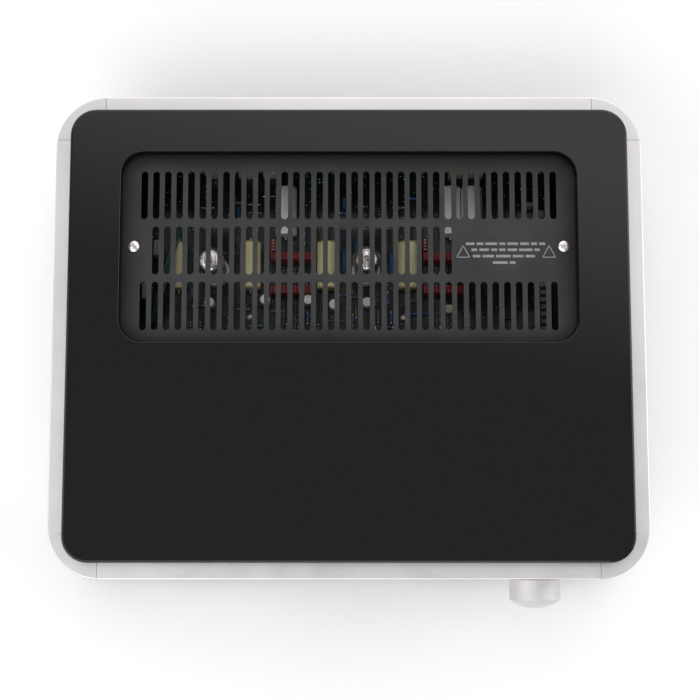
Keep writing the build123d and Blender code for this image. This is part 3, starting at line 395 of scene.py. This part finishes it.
# %% Film capacitor finish
low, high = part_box("film_capacitor_1")
middle_y = (low.y + high.y) / 2
half_length = (high.y - low.y) / 2
film = Finish("yellow_tape", Coat_Weight=0.25)
from_middle = film.maths("ABSOLUTE", film.maths("SUBTRACT", film.axis("Y"), middle_y))
ends = film.span(from_middle, half_length - 1.6 * MM, half_length - 1.2 * MM)
tape = film.blend(film.span(film.noise(60.0), 0.3, 0.7), (0.80, 0.74, 0.40), (0.90, 0.85, 0.50))
film.colour(film.blend(ends, tape, (0.50, 0.40, 0.16)))
film.roughness(film.span(film.noise(150.0, 4.0), 0.3, 0.7, 0.28, 0.46))
film.relief(film.noise(420.0, 2.0, (1.0, 0.05, 1.0)), 0.4, 0.08 * MM)
FILMS = [f"film_capacitor_{number}" for number in range(1, 5)]
dress(film, *FILMS)

# %% [markdown]
# The cans are drawn aluminium with a satin skin that scatters what little light comes through the slots. The
# red box capacitors are cast around their windings, which leaves upright ribs: a sine of the distance across;
# the grooves between the ribs are darkened with painted shade.

# %% Cans, boxes, relays and sleeves
dress(
    plain("drawn_can", (0.90, 0.86, 0.87), (0.98, 0.96, 0.96), 90, 1400, (0.42, 0.54), 0.03, 0.6),
    "can_capacitor_1", "can_capacitor_2", "can_capacitor_3",
)
dress(
    plain("bright_cap", (0.92, 0.87, 0.87), (0.98, 0.95, 0.95), 200, 1400, (0.34, 0.48), 0.03, 0.25),
    "small_capacitors",
)
RIB_PITCH = 2.3 * MM
ribbed = Finish("ribbed_red")
rib_phase = ribbed.maths("MULTIPLY", ribbed.axis("X"), 2 * math.pi / RIB_PITCH)
ribs = ribbed.span(ribbed.maths("SINE", rib_phase), -0.2, 0.4)
# The colour runs from near black in the grooves to red on the ribs: painted shade in the grooves.
ribbed.colour(ribbed.blend(ribs, (0.030, 0.004, 0.004), (0.36, 0.016, 0.016)))
ribbed.roughness(ribbed.span(ribbed.noise(180.0), 0.3, 0.7, 0.3, 0.45))
ribbed.relief(ribs, 0.6, 0.2 * MM)
dress(ribbed, "box_capacitors")
dress(
    plain("cream_case", (0.30, 0.26, 0.18), (0.40, 0.35, 0.26), 120, 1500, (0.4, 0.55), 0.05),
    "input_relays",
)
dress(
    plain("dark_sleeve", (0.010, 0.014, 0.026), (0.018, 0.024, 0.045), 90, 500, (0.22, 0.34), 0.05),
    "filter_capacitors",
)
dress(
    plain("teal_insulation", (0.02, 0.06, 0.07), (0.05, 0.12, 0.13), 300, 1500, (0.35, 0.5), 0.03),
    "signal_leads",
)

# %% [markdown]
# ## The transformer winding
# A toroid is wrapped in overlapping polyester tape that runs through its hole, so the lap lines fan out from
# the middle. The angle around the axis, taken from the arctangent of the two offsets, gives one line per lap.

# %% Transformer finish
low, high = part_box("power_transformer")
centre = (low + high) / 2
LAPS = 46
wrap = Finish("tape_wrap", Coat_Weight=0.5)
off_x = wrap.maths("SUBTRACT", wrap.axis("X"), centre.x)
off_y = wrap.maths("SUBTRACT", wrap.axis("Y"), centre.y)
turns = wrap.maths("MULTIPLY", wrap.maths("ARCTAN2", off_y, off_x), LAPS / (2 * math.pi))
lap = wrap.maths("FRACT", wrap.maths("ADD", turns, wrap.maths("MULTIPLY", wrap.noise(30.0), 0.5)))
wrap.colour(wrap.blend(lap, (0.16, 0.12, 0.02), (0.34, 0.26, 0.05)))
wrap.roughness(wrap.span(wrap.noise(120.0), 0.3, 0.7, 0.2, 0.35))
wrap.relief(lap, 0.7, 0.25 * MM)
dress(wrap, "power_transformer")

undressed = [
    name for name, piece in nodes.items()
    if not piece.data.materials or not piece.data.materials[0].use_nodes
]
print("CAD pieces:", len(nodes), "still plain:", undressed)

# %% [markdown]
# ## Building blocks for the small parts
# The pieces below are only seen, so they are meshes made here. A bevelled block is a cube whose edges are cut
# back; a bar is a ring of points swept along a straight axis; a wire is a curve with a round profile. Equal
# small parts are joined in one mesh, as they are bought and fitted as one kind.

# %% Mesh helpers
side_low, side_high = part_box("side_panel_left")
CASE_Y = (side_low.y + side_high.y) / 2
BOARD_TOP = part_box("main_board")[1].z
random.seed(7)


def spot(x, y, z=0.0):
    """A place on the main board in metres, given in millimetres from the case centre and above the board."""
    return Vector((x * MM, CASE_Y + y * MM, BOARD_TOP + z * MM))


def block(mesh, centre, size, cut):
    """Add a bevelled block to a mesh in the making; centre and size in metres."""
    made = bmesh.ops.create_cube(mesh, size=1.0)["verts"]
    bmesh.ops.scale(mesh, vec=size, verts=made)
    bmesh.ops.translate(mesh, vec=centre, verts=made)
    edges = list({edge for vert in made for edge in vert.link_edges})
    bmesh.ops.bevel(mesh, geom=edges, offset=cut, segments=2, affect="EDGES")


def bar(mesh, start, along, profile, sides=20):
    """Add a turned bar: profile is a list of (distance along, radius), closed at both ends."""
    along = Vector(along).normalized()
    across = along.orthogonal().normalized()
    over = along.cross(across)
    rings = []
    for distance, radius in profile:
        ring = []
        for step in range(sides):
            angle = 2 * math.pi * step / sides
            arm = across * math.cos(angle) + over * math.sin(angle)
            ring.append(mesh.verts.new(start + along * distance + arm * radius))
        rings.append(ring)
    for first, second in zip(rings, rings[1:]):
        for step in range(sides):
            after = (step + 1) % sides
            mesh.faces.new((first[step], first[after], second[after], second[step]))
    mesh.faces.new(list(reversed(rings[0])))
    mesh.faces.new(rings[-1])


def settle(name, mesh, finish, body="chassis", smooth=True):
    """Turn a mesh in the making into a piece that rides on a body."""
    bmesh.ops.recalc_face_normals(mesh, faces=mesh.faces)
    data = bpy.data.meshes.new(name)
    mesh.to_mesh(data)
    mesh.free()
    data.materials.append(finish.material)
    piece = bpy.data.objects.new(name, data)
    bpy.context.scene.collection.objects.link(piece)
    if smooth:
        data.shade_smooth()
        data.set_sharp_from_angle(angle=math.radians(40))
    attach(piece, body)
    print(name, len(data.polygons), "faces")
    return piece


def wires(name, routes, radius, finish, body="chassis"):
    """Round wires along smooth routes, joined in one curve."""
    data = bpy.data.curves.new(name, "CURVE")
    data.dimensions = "3D"
    data.bevel_depth = radius
    data.bevel_resolution = 3
    data.use_fill_caps = True
    for route in routes:
        line = data.splines.new("NURBS")
        line.points.add(len(route) - 1)
        for point, place in zip(line.points, route):
            point.co = (*place, 1.0)
        line.order_u = 3
        line.use_endpoint_u = True
    data.materials.append(finish.material)
    piece = bpy.data.objects.new(name, data)
    bpy.context.scene.collection.objects.link(piece)
    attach(piece, body)
    print(name, len(routes), "wires")
    return piece


# %% [markdown]
# ## Printed marks on the hatch
# The blank part of the hatch carries a printed notice on such a case. Here it is a plain placeholder: four
# rows of short bars and two empty triangles, in thin pale ink that stands a few hundredths of a millimetre
# proud. A triangle is three flat bars.

# %% Hatch print
hatch_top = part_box("vent_hatch")[1].z
INK_T = 0.03 * MM
ink = plain("pale_ink", (0.20, 0.20, 0.20), (0.28, 0.28, 0.28), 400, 2500, (0.4, 0.5), 0.01)
PRINT_X, PRINT_ROWS = 114.7, ((66.0, 58.0), (61.5, 50.0), (56.8, 48.0), (52.0, 19.0))
BAR_H, WORD_GAP, LAST_GAP = 1.9 * MM, 1.5 * MM, 2.0 * MM
TRIANGLE_XS, TRIANGLE, LINE_HALF = (83.7, 146.5), ((-4.7, 56.0), (4.7, 56.0), (0.0, 64.6)), 0.32
BOX_QUADS = ((0, 1, 2, 3), (7, 6, 5, 4), (0, 4, 5, 1), (1, 5, 6, 2), (2, 6, 7, 3), (3, 7, 4, 0))
print_mesh = bmesh.new()
for row_y, row_w in PRINT_ROWS:
    x, end = (PRINT_X - row_w / 2) * MM, (PRINT_X + row_w / 2) * MM
    while x < end - LAST_GAP:
        word = min(random.uniform(4.0, 11.0) * MM, end - x)
        middle = Vector((x + word / 2, CASE_Y + row_y * MM, hatch_top + INK_T / 2))
        block(print_mesh, middle, Vector((word, BAR_H, INK_T)), INK_T / 4)
        x += word + WORD_GAP
for centre_x in TRIANGLE_XS:
    points = [Vector((centre_x + dx, dy, 0)) for dx, dy in TRIANGLE]
    for first, second in zip(points, points[1:] + points[:1]):
        step = second - first
        normal = Vector((-step.y, step.x, 0)).normalized() * LINE_HALF
        ring = []
        for level in (0.0, INK_T):
            for corner in (first - normal, second - normal, second + normal, first + normal):
                place = (corner.x * MM, CASE_Y + corner.y * MM, hatch_top + level)
                ring.append(print_mesh.verts.new(place))
        for quad in BOX_QUADS:
            print_mesh.faces.new([ring[i] for i in quad])
settle("hatch_print", print_mesh, ink, "hatch", smooth=False)

# %% [markdown]
# ## Parts on the main board
# Resistors and small capacitors lie front to back, their bodies a little thicker at the ends. Their places
# follow the two channels, one around each tube, with a few loose parts filling the gaps as on a real board.

# %% Resistors
RESISTOR_L = 6.6
RESISTOR = [
    (0.0, 0.7), (0.5, 1.1), (1.3, 1.15), (1.7, 0.95), (4.9, 0.95), (5.3, 1.15), (6.1, 1.1), (RESISTOR_L, 0.7),
]
tin = plain("tinned_wire", (0.72, 0.72, 0.72), (0.94, 0.94, 0.94), 500, 3000, (0.16, 0.28), 0.01, 1.0)
sky = plain("blue_lacquer", (0.02, 0.07, 0.20), (0.04, 0.14, 0.32), 300, 2000, (0.25, 0.4), 0.03)
tan = plain("tan_lacquer", (0.16, 0.12, 0.07), (0.24, 0.19, 0.11), 300, 2000, (0.3, 0.45), 0.03)
taken = []
CANS = [f"can_capacitor_{number}" for number in range(1, 4)]
for node in [*FILMS, *CANS, "tube_socket_left", "tube_socket_right"]:
    taken.append(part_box(node))


def is_free(place, reach):
    """True where a small part clears the big ones and the upright capacitors."""
    for low, high in taken:
        if low.x - reach < place.x < high.x + reach and low.y - reach < place.y < high.y + reach:
            return False
    return True


def scatter(count, region, reach):
    """Random free places in a region given as (x from, x to, y from, y to); each one is then taken."""
    found = []
    while len(found) < count:
        place = spot(random.uniform(*region[:2]), random.uniform(*region[2:]))
        if is_free(place, reach):
            found.append(place)
            arm = Vector((reach, reach, 0)) * 0.75
            taken.append((place - arm, place + arm))
    return found


RED_AREAS = ((-60.5, -28, 38, 45), (-60.5, -28, 64, 78), (57, 89, 38, 45), (57, 89, 64, 79))
for low_x, high_x, low_y, high_y in RED_AREAS:
    taken.append((spot(low_x, low_y), spot(high_x, high_y)))
UPRIGHT_PLACES, UPRIGHT_HALF = ((-107, 32), (-64, 34), (-31.6, 34), (-11.3, 30.5), (14, 32)), 4
for x, y in UPRIGHT_PLACES:
    taken.append((spot(x - UPRIGHT_HALF, y - UPRIGHT_HALF), spot(x + UPRIGHT_HALF, y + UPRIGHT_HALF)))
REGIONS = ((-122, -30, 8, 118), (-6, 100, 8, 118))
blue_mesh, tan_mesh, lead_routes = bmesh.new(), bmesh.new(), []
for index, region in enumerate(REGIONS * 2):
    mesh, count = (blue_mesh, 16) if index < 2 else (tan_mesh, 14)
    for place in scatter(count, region, 3.6 * MM):
        along = Vector((0, 1, 0)) if random.random() < 0.6 else Vector((1, 0, 0))
        start = place - along * RESISTOR_L / 2 * MM + Vector((0, 0, 1.7 * MM))
        bar(mesh, start, along, [(d * MM, r * MM) for d, r in RESISTOR], 14)
        out = along * 1.6 * MM
        down = Vector((0, 0, 1.8 * MM))
        tail = start + along * RESISTOR_L * MM
        lead_routes.append([start, start - out * 0.7, start - out, start - out - down])
        lead_routes.append([tail, tail + out * 0.7, tail + out, tail + out - down])
settle("blue_resistors", blue_mesh, sky)
settle("tan_resistors", tan_mesh, tan)

# %% [markdown]
# Every lying capacitor has a lead at its ends, bent down to the board a short way out. The cans have theirs
# at the front end only. They are round wires along a route with one knee.

# %% Capacitor leads
for node in [*FILMS, *CANS]:
    low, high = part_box(node)
    axis_x, axis_z = (low.x + high.x) / 2, (low.z + high.z) / 2
    for end_y, way in ((low.y, -1), (high.y, 1)):
        if node.startswith("can") and way > 0:
            continue
        knee = end_y + way * 3.0 * MM
        lead_routes.append([
            Vector((axis_x, end_y, axis_z)), Vector((axis_x, knee, axis_z)), Vector((axis_x, knee, axis_z)),
            Vector((axis_x, knee, BOARD_TOP)),
        ])
wires("part_leads", lead_routes, 0.35 * MM, tin)

# %% [markdown]
# A few blue parts stand between the tubes and the cans: two long axial capacitors and some upright blocks.
# Red strips with a row of pins along their tops sit beside the red capacitors.

# %% Blue axial parts, upright blocks and red strips
axial_mesh = bmesh.new()
for x, y, length in ((-3.7, 65.5, 19.6), (33.1, 63.7, 17.1)):
    profile = [(0, 1.0), (0.6, 1.8), (1.5, 1.95), (length - 1.5, 1.95), (length - 0.6, 1.8), (length, 1.0)]
    bar(axial_mesh, spot(x, y - length / 2, 2.4), (0, 1, 0), [(d * MM, r * MM) for d, r in profile])
for x, y, w, d, h in ((6.1, 79.0, 3.4, 9.8, 9.0), (14.2, 83.5, 5.2, 8.9, 8.0), (-120, 40, 3.2, 8.0, 7.0)):
    block(axial_mesh, spot(x, y, h / 2), Vector((w, d, h)) * MM, 0.3 * MM)
settle("blue_parts", axial_mesh, sky)

strip_mesh, pin_mesh = bmesh.new(), bmesh.new()
STRIP_H, STRIP_PINS = 13.0, 4
STRIP_PIN = [(0, 0.7 * MM), (0.8 * MM, 0.7 * MM), (1.1 * MM, 0.4 * MM)]
red = plain("red_strip", (0.16, 0.010, 0.012), (0.26, 0.02, 0.02), 200, 1500, (0.3, 0.45), 0.04)
for x, y, w, d in ((-58.2, 76.3, 4.4, 9.6), (58.6, 76.6, 2.8, 10.0)):
    block(strip_mesh, spot(x, y, STRIP_H / 2), Vector((w, d, STRIP_H)) * MM, 0.3 * MM)
    for step in range(STRIP_PINS):
        pin_y = y - d / 2 + d * (step + 0.5) / STRIP_PINS
        bar(pin_mesh, spot(x, pin_y, STRIP_H), (0, 0, 1), STRIP_PIN, 10)
settle("red_strips", strip_mesh, red)

# %% [markdown]
# ## Connectors, chips and solder
# A multi-way connector stands at the right edge with a stiff panel beside it, and smaller ones stand around
# the board. Chips are flat dark blocks with two rows of legs.

# %% Connectors and chips
dark_mesh, grey_mesh, cream_mesh = bmesh.new(), bmesh.new(), bmesh.new()
grey = plain("grey_nylon", (0.20, 0.24, 0.24), (0.30, 0.35, 0.35), 200, 1500, (0.4, 0.55), 0.04)
cream = plain("cream_nylon", (0.50, 0.45, 0.34), (0.62, 0.57, 0.46), 200, 1500, (0.4, 0.55), 0.04)
WAYS, WAY_PITCH = 7, 5.65
block(dark_mesh, spot(148.8, 27.9, 8.0), Vector((4.8, 38.0, 16.0)) * MM, 0.3 * MM)
for way in range(WAYS):
    way_y = 27.9 + (way - (WAYS - 1) / 2) * WAY_PITCH
    block(grey_mesh, spot(148.8, way_y, 16.6), Vector((4.4, 3.2, 1.6)) * MM, 0.25 * MM)
block(dark_mesh, spot(157.4, 28.3, 10.0), Vector((3.6, 37.0, 20.0)) * MM, 0.3 * MM)
GREY_BLOCKS = (
    (-147.5, 74, 4.9, 11.7, 16), (-156.4, 40.4, 4.1, 11.9, 16),
    (139.5, 108, 4.8, 3.0, 15), (148.3, 100.5, 4.3, 5.4, 15),
)
for x, y, w, d, h in GREY_BLOCKS:
    block(grey_mesh, spot(x, y, h / 2), Vector((w, d, h)) * MM, 0.4 * MM)
block(cream_mesh, spot(76.8, 26.8, 6.5), Vector((5.1, 6.2, 13.0)) * MM, 0.4 * MM)
CHIP_PLACES = (
    (-118.5, 14.0), (121.0, 60.0), (124.0, 25.0), (-20.0, 12.0), (60.0, 12.0), (115.0, 100.0), (20.0, 104.0),
)
GRID = 2.54
for x, y in CHIP_PLACES:
    if is_free(spot(x, y), 3.0 * MM):
        block(dark_mesh, spot(x, y, 1.9), Vector((6.4, 9.8, 3.4)) * MM, 0.25 * MM)
        for side in (-1, 1):
            for leg in range(4):
                foot_place = spot(x + side * 3.7, y + (leg - 1.5) * GRID, 1.0)
                block(pin_mesh, foot_place, Vector((0.8, 0.6, 2.0)) * MM, 0.1 * MM)
block(cream_mesh, spot(-128, 98, 1.6), Vector((8.0, 3.4, 3.2)) * MM, 0.3 * MM)
block(cream_mesh, spot(-150, 12, 1.6), Vector((8.0, 3.4, 3.2)) * MM, 0.3 * MM)
settle("connector_shells", dark_mesh, moulded)
settle("grey_blocks", grey_mesh, grey)
settle("cream_blocks", cream_mesh, cream)

# %% [markdown]
# Solder joints are tiny shiny domes on a 2.54 mm grid. A few hundred of them, all one mesh, give the board
# its glitter between the parts. They keep clear of the parts already placed.

# %% Solder joints and pins
SOLDER = [(0.0, 0.75), (0.25, 0.7), (0.5, 0.45), (0.7, 0.2)]
board_low, board_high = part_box("main_board")
JOINT_TRIES, JOINT_EDGE, PITCH = 900, 6 * MM, GRID * MM
for _ in range(JOINT_TRIES):
    x = random.uniform(board_low.x + JOINT_EDGE, board_high.x - JOINT_EDGE)
    y = random.uniform(board_low.y + JOINT_EDGE, board_high.y - JOINT_EDGE)
    place = Vector((round(x / PITCH) * PITCH, round(y / PITCH) * PITCH, BOARD_TOP))
    if is_free(place, 1.0 * MM):
        bar(pin_mesh, place, (0, 0, 1), [(d * MM, r * MM) for d, r in SOLDER], 8)
settle("solder_and_pins", pin_mesh, tin)

# %% [markdown]
# Between the red capacitors stand rows of taller pins, the legs of a relay board. Some are missing, so each
# place in a row gets its pin by chance.

# %% Pin rows beside the red parts
rows_mesh = bmesh.new()
PIN = [(0.0, 0.45), (7.0, 0.45), (7.5, 0.25)]
PIN_SPANS, PIN_STEP, PIN_CHANCE = ((4.0, 36.0), (46.0, 63.0)), 1.9, 0.75
for cluster_x in (-44.3, 73.0):
    for row_x in (-5.6, -3.2, 3.0, 5.4):
        for low_y, high_y in PIN_SPANS:
            for step in range(int((high_y - low_y) / PIN_STEP)):
                if random.random() < PIN_CHANCE:
                    place = spot(cluster_x + row_x, low_y + PIN_STEP * step)
                    bar(rows_mesh, place, (0, 0, 1), [(d * MM, r * MM) for d, r in PIN], 8)
settle("pin_rows", rows_mesh, tin)

# %% [markdown]
# ## Rear sockets and the mains inlet
# Each phono jack has an insulator between its sleeve and centre contact, white for one row and red for the
# other. The inlet holds three flat blades, the earth blade in the middle, set back from its mouth.

# %% Jack insulators
white_ptfe = plain("white_insulator", (0.72, 0.72, 0.70), (0.82, 0.82, 0.80), 300, 1500, (0.35, 0.5), 0.03)
red_ptfe = plain("red_insulator", (0.35, 0.015, 0.012), (0.45, 0.03, 0.02), 300, 1500, (0.35, 0.5), 0.03)
jacks_low, jacks_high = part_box("phono_jacks")
JACK_PITCH, JACK_COUNT, ROW_PITCH = 22.0 * MM, 6, 20.0 * MM
jack_mid = (jacks_low + jacks_high) / 2
RING = [(0.0, 1.66), (0.0, 3.25), (0.55, 3.25), (0.7, 3.0), (0.7, 1.9), (0.55, 1.66)]
RECESS = 1.0 * MM


def open_ring(mesh, centre, along, profile, sides=28):
    """Add a ring with a hole: a closed profile of (distance along, radius) carried round an axis."""
    along = Vector(along).normalized()
    across = along.orthogonal().normalized()
    over = along.cross(across)
    rings = []
    for step in range(sides):
        angle = 2 * math.pi * step / sides
        arm = across * math.cos(angle) + over * math.sin(angle)
        rings.append([mesh.verts.new(centre + along * d * MM + arm * r * MM) for d, r in profile])
    for first, second in zip(rings, rings[1:] + rings[:1]):
        for index in range(len(profile)):
            after = (index + 1) % len(profile)
            mesh.faces.new((first[index], first[after], second[after], second[index]))


for name, row, insulator in (("white_insulators", 1, white_ptfe), ("red_insulators", -1, red_ptfe)):
    ring_mesh = bmesh.new()
    for column in range(JACK_COUNT):
        x = jack_mid.x + (column - (JACK_COUNT - 1) / 2) * JACK_PITCH
        place = Vector((x, jacks_high.y - RECESS, jack_mid.z + row * ROW_PITCH / 2))
        open_ring(ring_mesh, place, (0, 1, 0), RING)
    settle(name, ring_mesh, insulator)

# %% [markdown]
# The blades' places come from the inlet's own box, so that they stay inside its mouth.

# %% Inlet blades
blade_mesh = bmesh.new()
cavity_x, cavity_z = -141.0 * MM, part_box("mains_inlet")[0].z + 16.0 * MM
blade_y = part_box("mains_inlet")[1].y - 10.0 * MM
for dx, dz in ((-7.0, -1.5), (0.0, 2.6), (7.0, -1.5)):
    centre = Vector((cavity_x + dx * MM, blade_y, cavity_z + dz * MM))
    block(blade_mesh, centre, Vector((2.0, 14.0, 4.0)) * MM, 0.3 * MM)
settle("inlet_blades", blade_mesh, nickel)

# %% [markdown]
# ## Wiring
# Twisted mains wires run from the inlet to the transformer, and coloured secondary wires from the transformer
# to the power board. They are tied and short, so each is one smooth curve.

# %% Wiring
TWIST_STEPS = 26


def twisted(start, end, rise, turn, phase):
    """A wire that winds round a gently arched line."""
    route = []
    for step in range(TWIST_STEPS + 1):
        t = step / TWIST_STEPS
        base = start.lerp(end, t) + Vector((0, 0, rise * 4 * t * (1 - t)))
        angle = phase + turn * 2 * math.pi * t
        route.append(base + Vector((math.cos(angle), 0, math.sin(angle))) * 1.1 * MM)
    return route


brown = plain("brown_insulation", (0.10, 0.035, 0.015), (0.16, 0.06, 0.03), 300, 1800, (0.35, 0.5), 0.03)
blue = plain("blue_insulation", (0.01, 0.05, 0.20), (0.02, 0.09, 0.30), 300, 1800, (0.35, 0.5), 0.03)
yellow = plain("yellow_insulation", (0.55, 0.42, 0.04), (0.68, 0.54, 0.08), 300, 1800, (0.35, 0.5), 0.03)
inlet_back = Vector((-172.0 * MM, CASE_Y + 150 * MM, 38 * MM))
wall_front = Vector((-172.0 * MM, CASE_Y - 60 * MM, 30 * MM))
SAG, PAIR_TURNS, WIRE_R = -6 * MM, 9, 1.0 * MM
for finish, phase in ((brown, 0.0), (blue, math.pi)):
    pair = twisted(inlet_back, wall_front, SAG, PAIR_TURNS, phase)
    wires(f"mains_{finish.material.name}", [pair], WIRE_R, finish)
secondary = []
for index in range(4):
    start = Vector((-58 * MM, CASE_Y + (-96 + 7 * index) * MM, 42 * MM))
    end = Vector((-20 * MM, CASE_Y + (-100 + 9 * index) * MM, BOARD_TOP))
    middle = start.lerp(end, 0.5) + Vector((0, 0, 12 * MM))
    secondary.append([start, middle, Vector((end.x, end.y, end.z + 8 * MM)), end])
wires("secondary_wires", secondary, WIRE_R, yellow)

# %% [markdown]
# ## Floor, light and camera
# The amplifier stands on a plain pale floor. Big soft panels on all four sides light it evenly, a little more
# from the front left. The world is grey and brightens towards the rear, because the gloss slab mirrors it.

# %% Stage
FLOOR_SPAN = 6.0
floor_mesh = bpy.data.meshes.new("floor")
corners = [(x * FLOOR_SPAN, y * FLOOR_SPAN, 0) for x, y in ((-1, -1), (1, -1), (1, 1), (-1, 1))]
floor_mesh.from_pydata(corners, [], [(0, 1, 2, 3)])
floor = bpy.data.objects.new("floor", floor_mesh)
bpy.context.scene.collection.objects.link(floor)
paper = plain("pale_paper", (0.96, 0.96, 0.96), (0.975, 0.975, 0.975), 2.0, 300, (0.8, 0.9), 0.02)
floor_mesh.materials.append(paper.material)

world = bpy.data.worlds.new("studio")
world.use_nodes = True
sky_nodes, sky_links = world.node_tree.nodes, world.node_tree.links
way = sky_nodes.new("ShaderNodeTexCoord")
slope = sky_nodes.new("ShaderNodeVectorMath")
slope.operation = "DOT_PRODUCT"
slope.inputs[1].default_value = (0.5, 2.0, 0.0)
glow = sky_nodes.new("ShaderNodeMapRange")
glow.interpolation_type = "SMOOTHSTEP"
GLOW = {"From Min": 0.25, "From Max": 0.62, "To Min": 0.32, "To Max": 1.15}
for socket, value in GLOW.items():
    glow.inputs[socket].default_value = value
sky_links.new(way.outputs["Generated"], slope.inputs[0])
sky_links.new(slope.outputs["Value"], glow.inputs["Value"])
background = sky_nodes["Background"]
background.inputs["Color"].default_value = (0.99, 0.98, 1.0, 1.0)
sky_links.new(glow.outputs["Result"], background.inputs["Strength"])
bpy.context.scene.world = world


def panel_light(name, place, aim, size, power):
    """A soft rectangular lamp at place, facing aim, in metres and watts."""
    data = bpy.data.lights.new(name, "AREA")
    data.shape, data.size, data.size_y, data.energy = "RECTANGLE", size[0], size[1], power
    lamp = bpy.data.objects.new(name, data)
    lamp.location = place
    lamp.rotation_mode = "QUATERNION"
    lamp.rotation_quaternion = (Vector(aim) - Vector(place)).to_track_quat("-Z", "Y")
    bpy.context.scene.collection.objects.link(lamp)


AIM = (0.0, 0.0, 0.08)
panel_light("rear_light", (0.5, 2.6, 1.6), AIM, (3.0, 1.8), 12)
panel_light("left_light", (-2.3, -0.4, 1.7), AIM, (1.8, 2.8), 19)
panel_light("right_light", (2.4, 0.0, 1.3), AIM, (1.8, 2.8), 17)
panel_light("front_light", (-0.7, -1.9, 2.1), AIM, (3.2, 1.8), 38)

# %% [markdown]
# The camera looks almost straight down, from a little in front of the case, at the height of its rim.

# %% Camera
slab_low, slab_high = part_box("top_panel")
CAMERA_DISTANCE = 1.08
CAMERA_TILT = math.radians(7.275)
rim_z = slab_low.z
AIM_RIGHT, AIM_FRONT = 0.9 * MM, 12.2 * MM
aim = Vector((AIM_RIGHT, (slab_low.y + slab_high.y) / 2 - AIM_FRONT, rim_z))
back = Vector((0.0, -math.sin(CAMERA_TILT), math.cos(CAMERA_TILT)))
camera_data = bpy.data.cameras.new("camera")
camera_data.sensor_width = 36.0
camera_data.lens = 76.5
camera = bpy.data.objects.new("camera", camera_data)
camera.location = aim + back * CAMERA_DISTANCE
camera.rotation_mode = "QUATERNION"
camera.rotation_quaternion = (-back).to_track_quat("-Z", "Y")
bpy.context.scene.collection.objects.link(camera)
bpy.context.scene.camera = camera
bpy.context.scene.view_settings.view_transform = "Standard"
print("camera at", [round(v, 3) for v in camera.location])
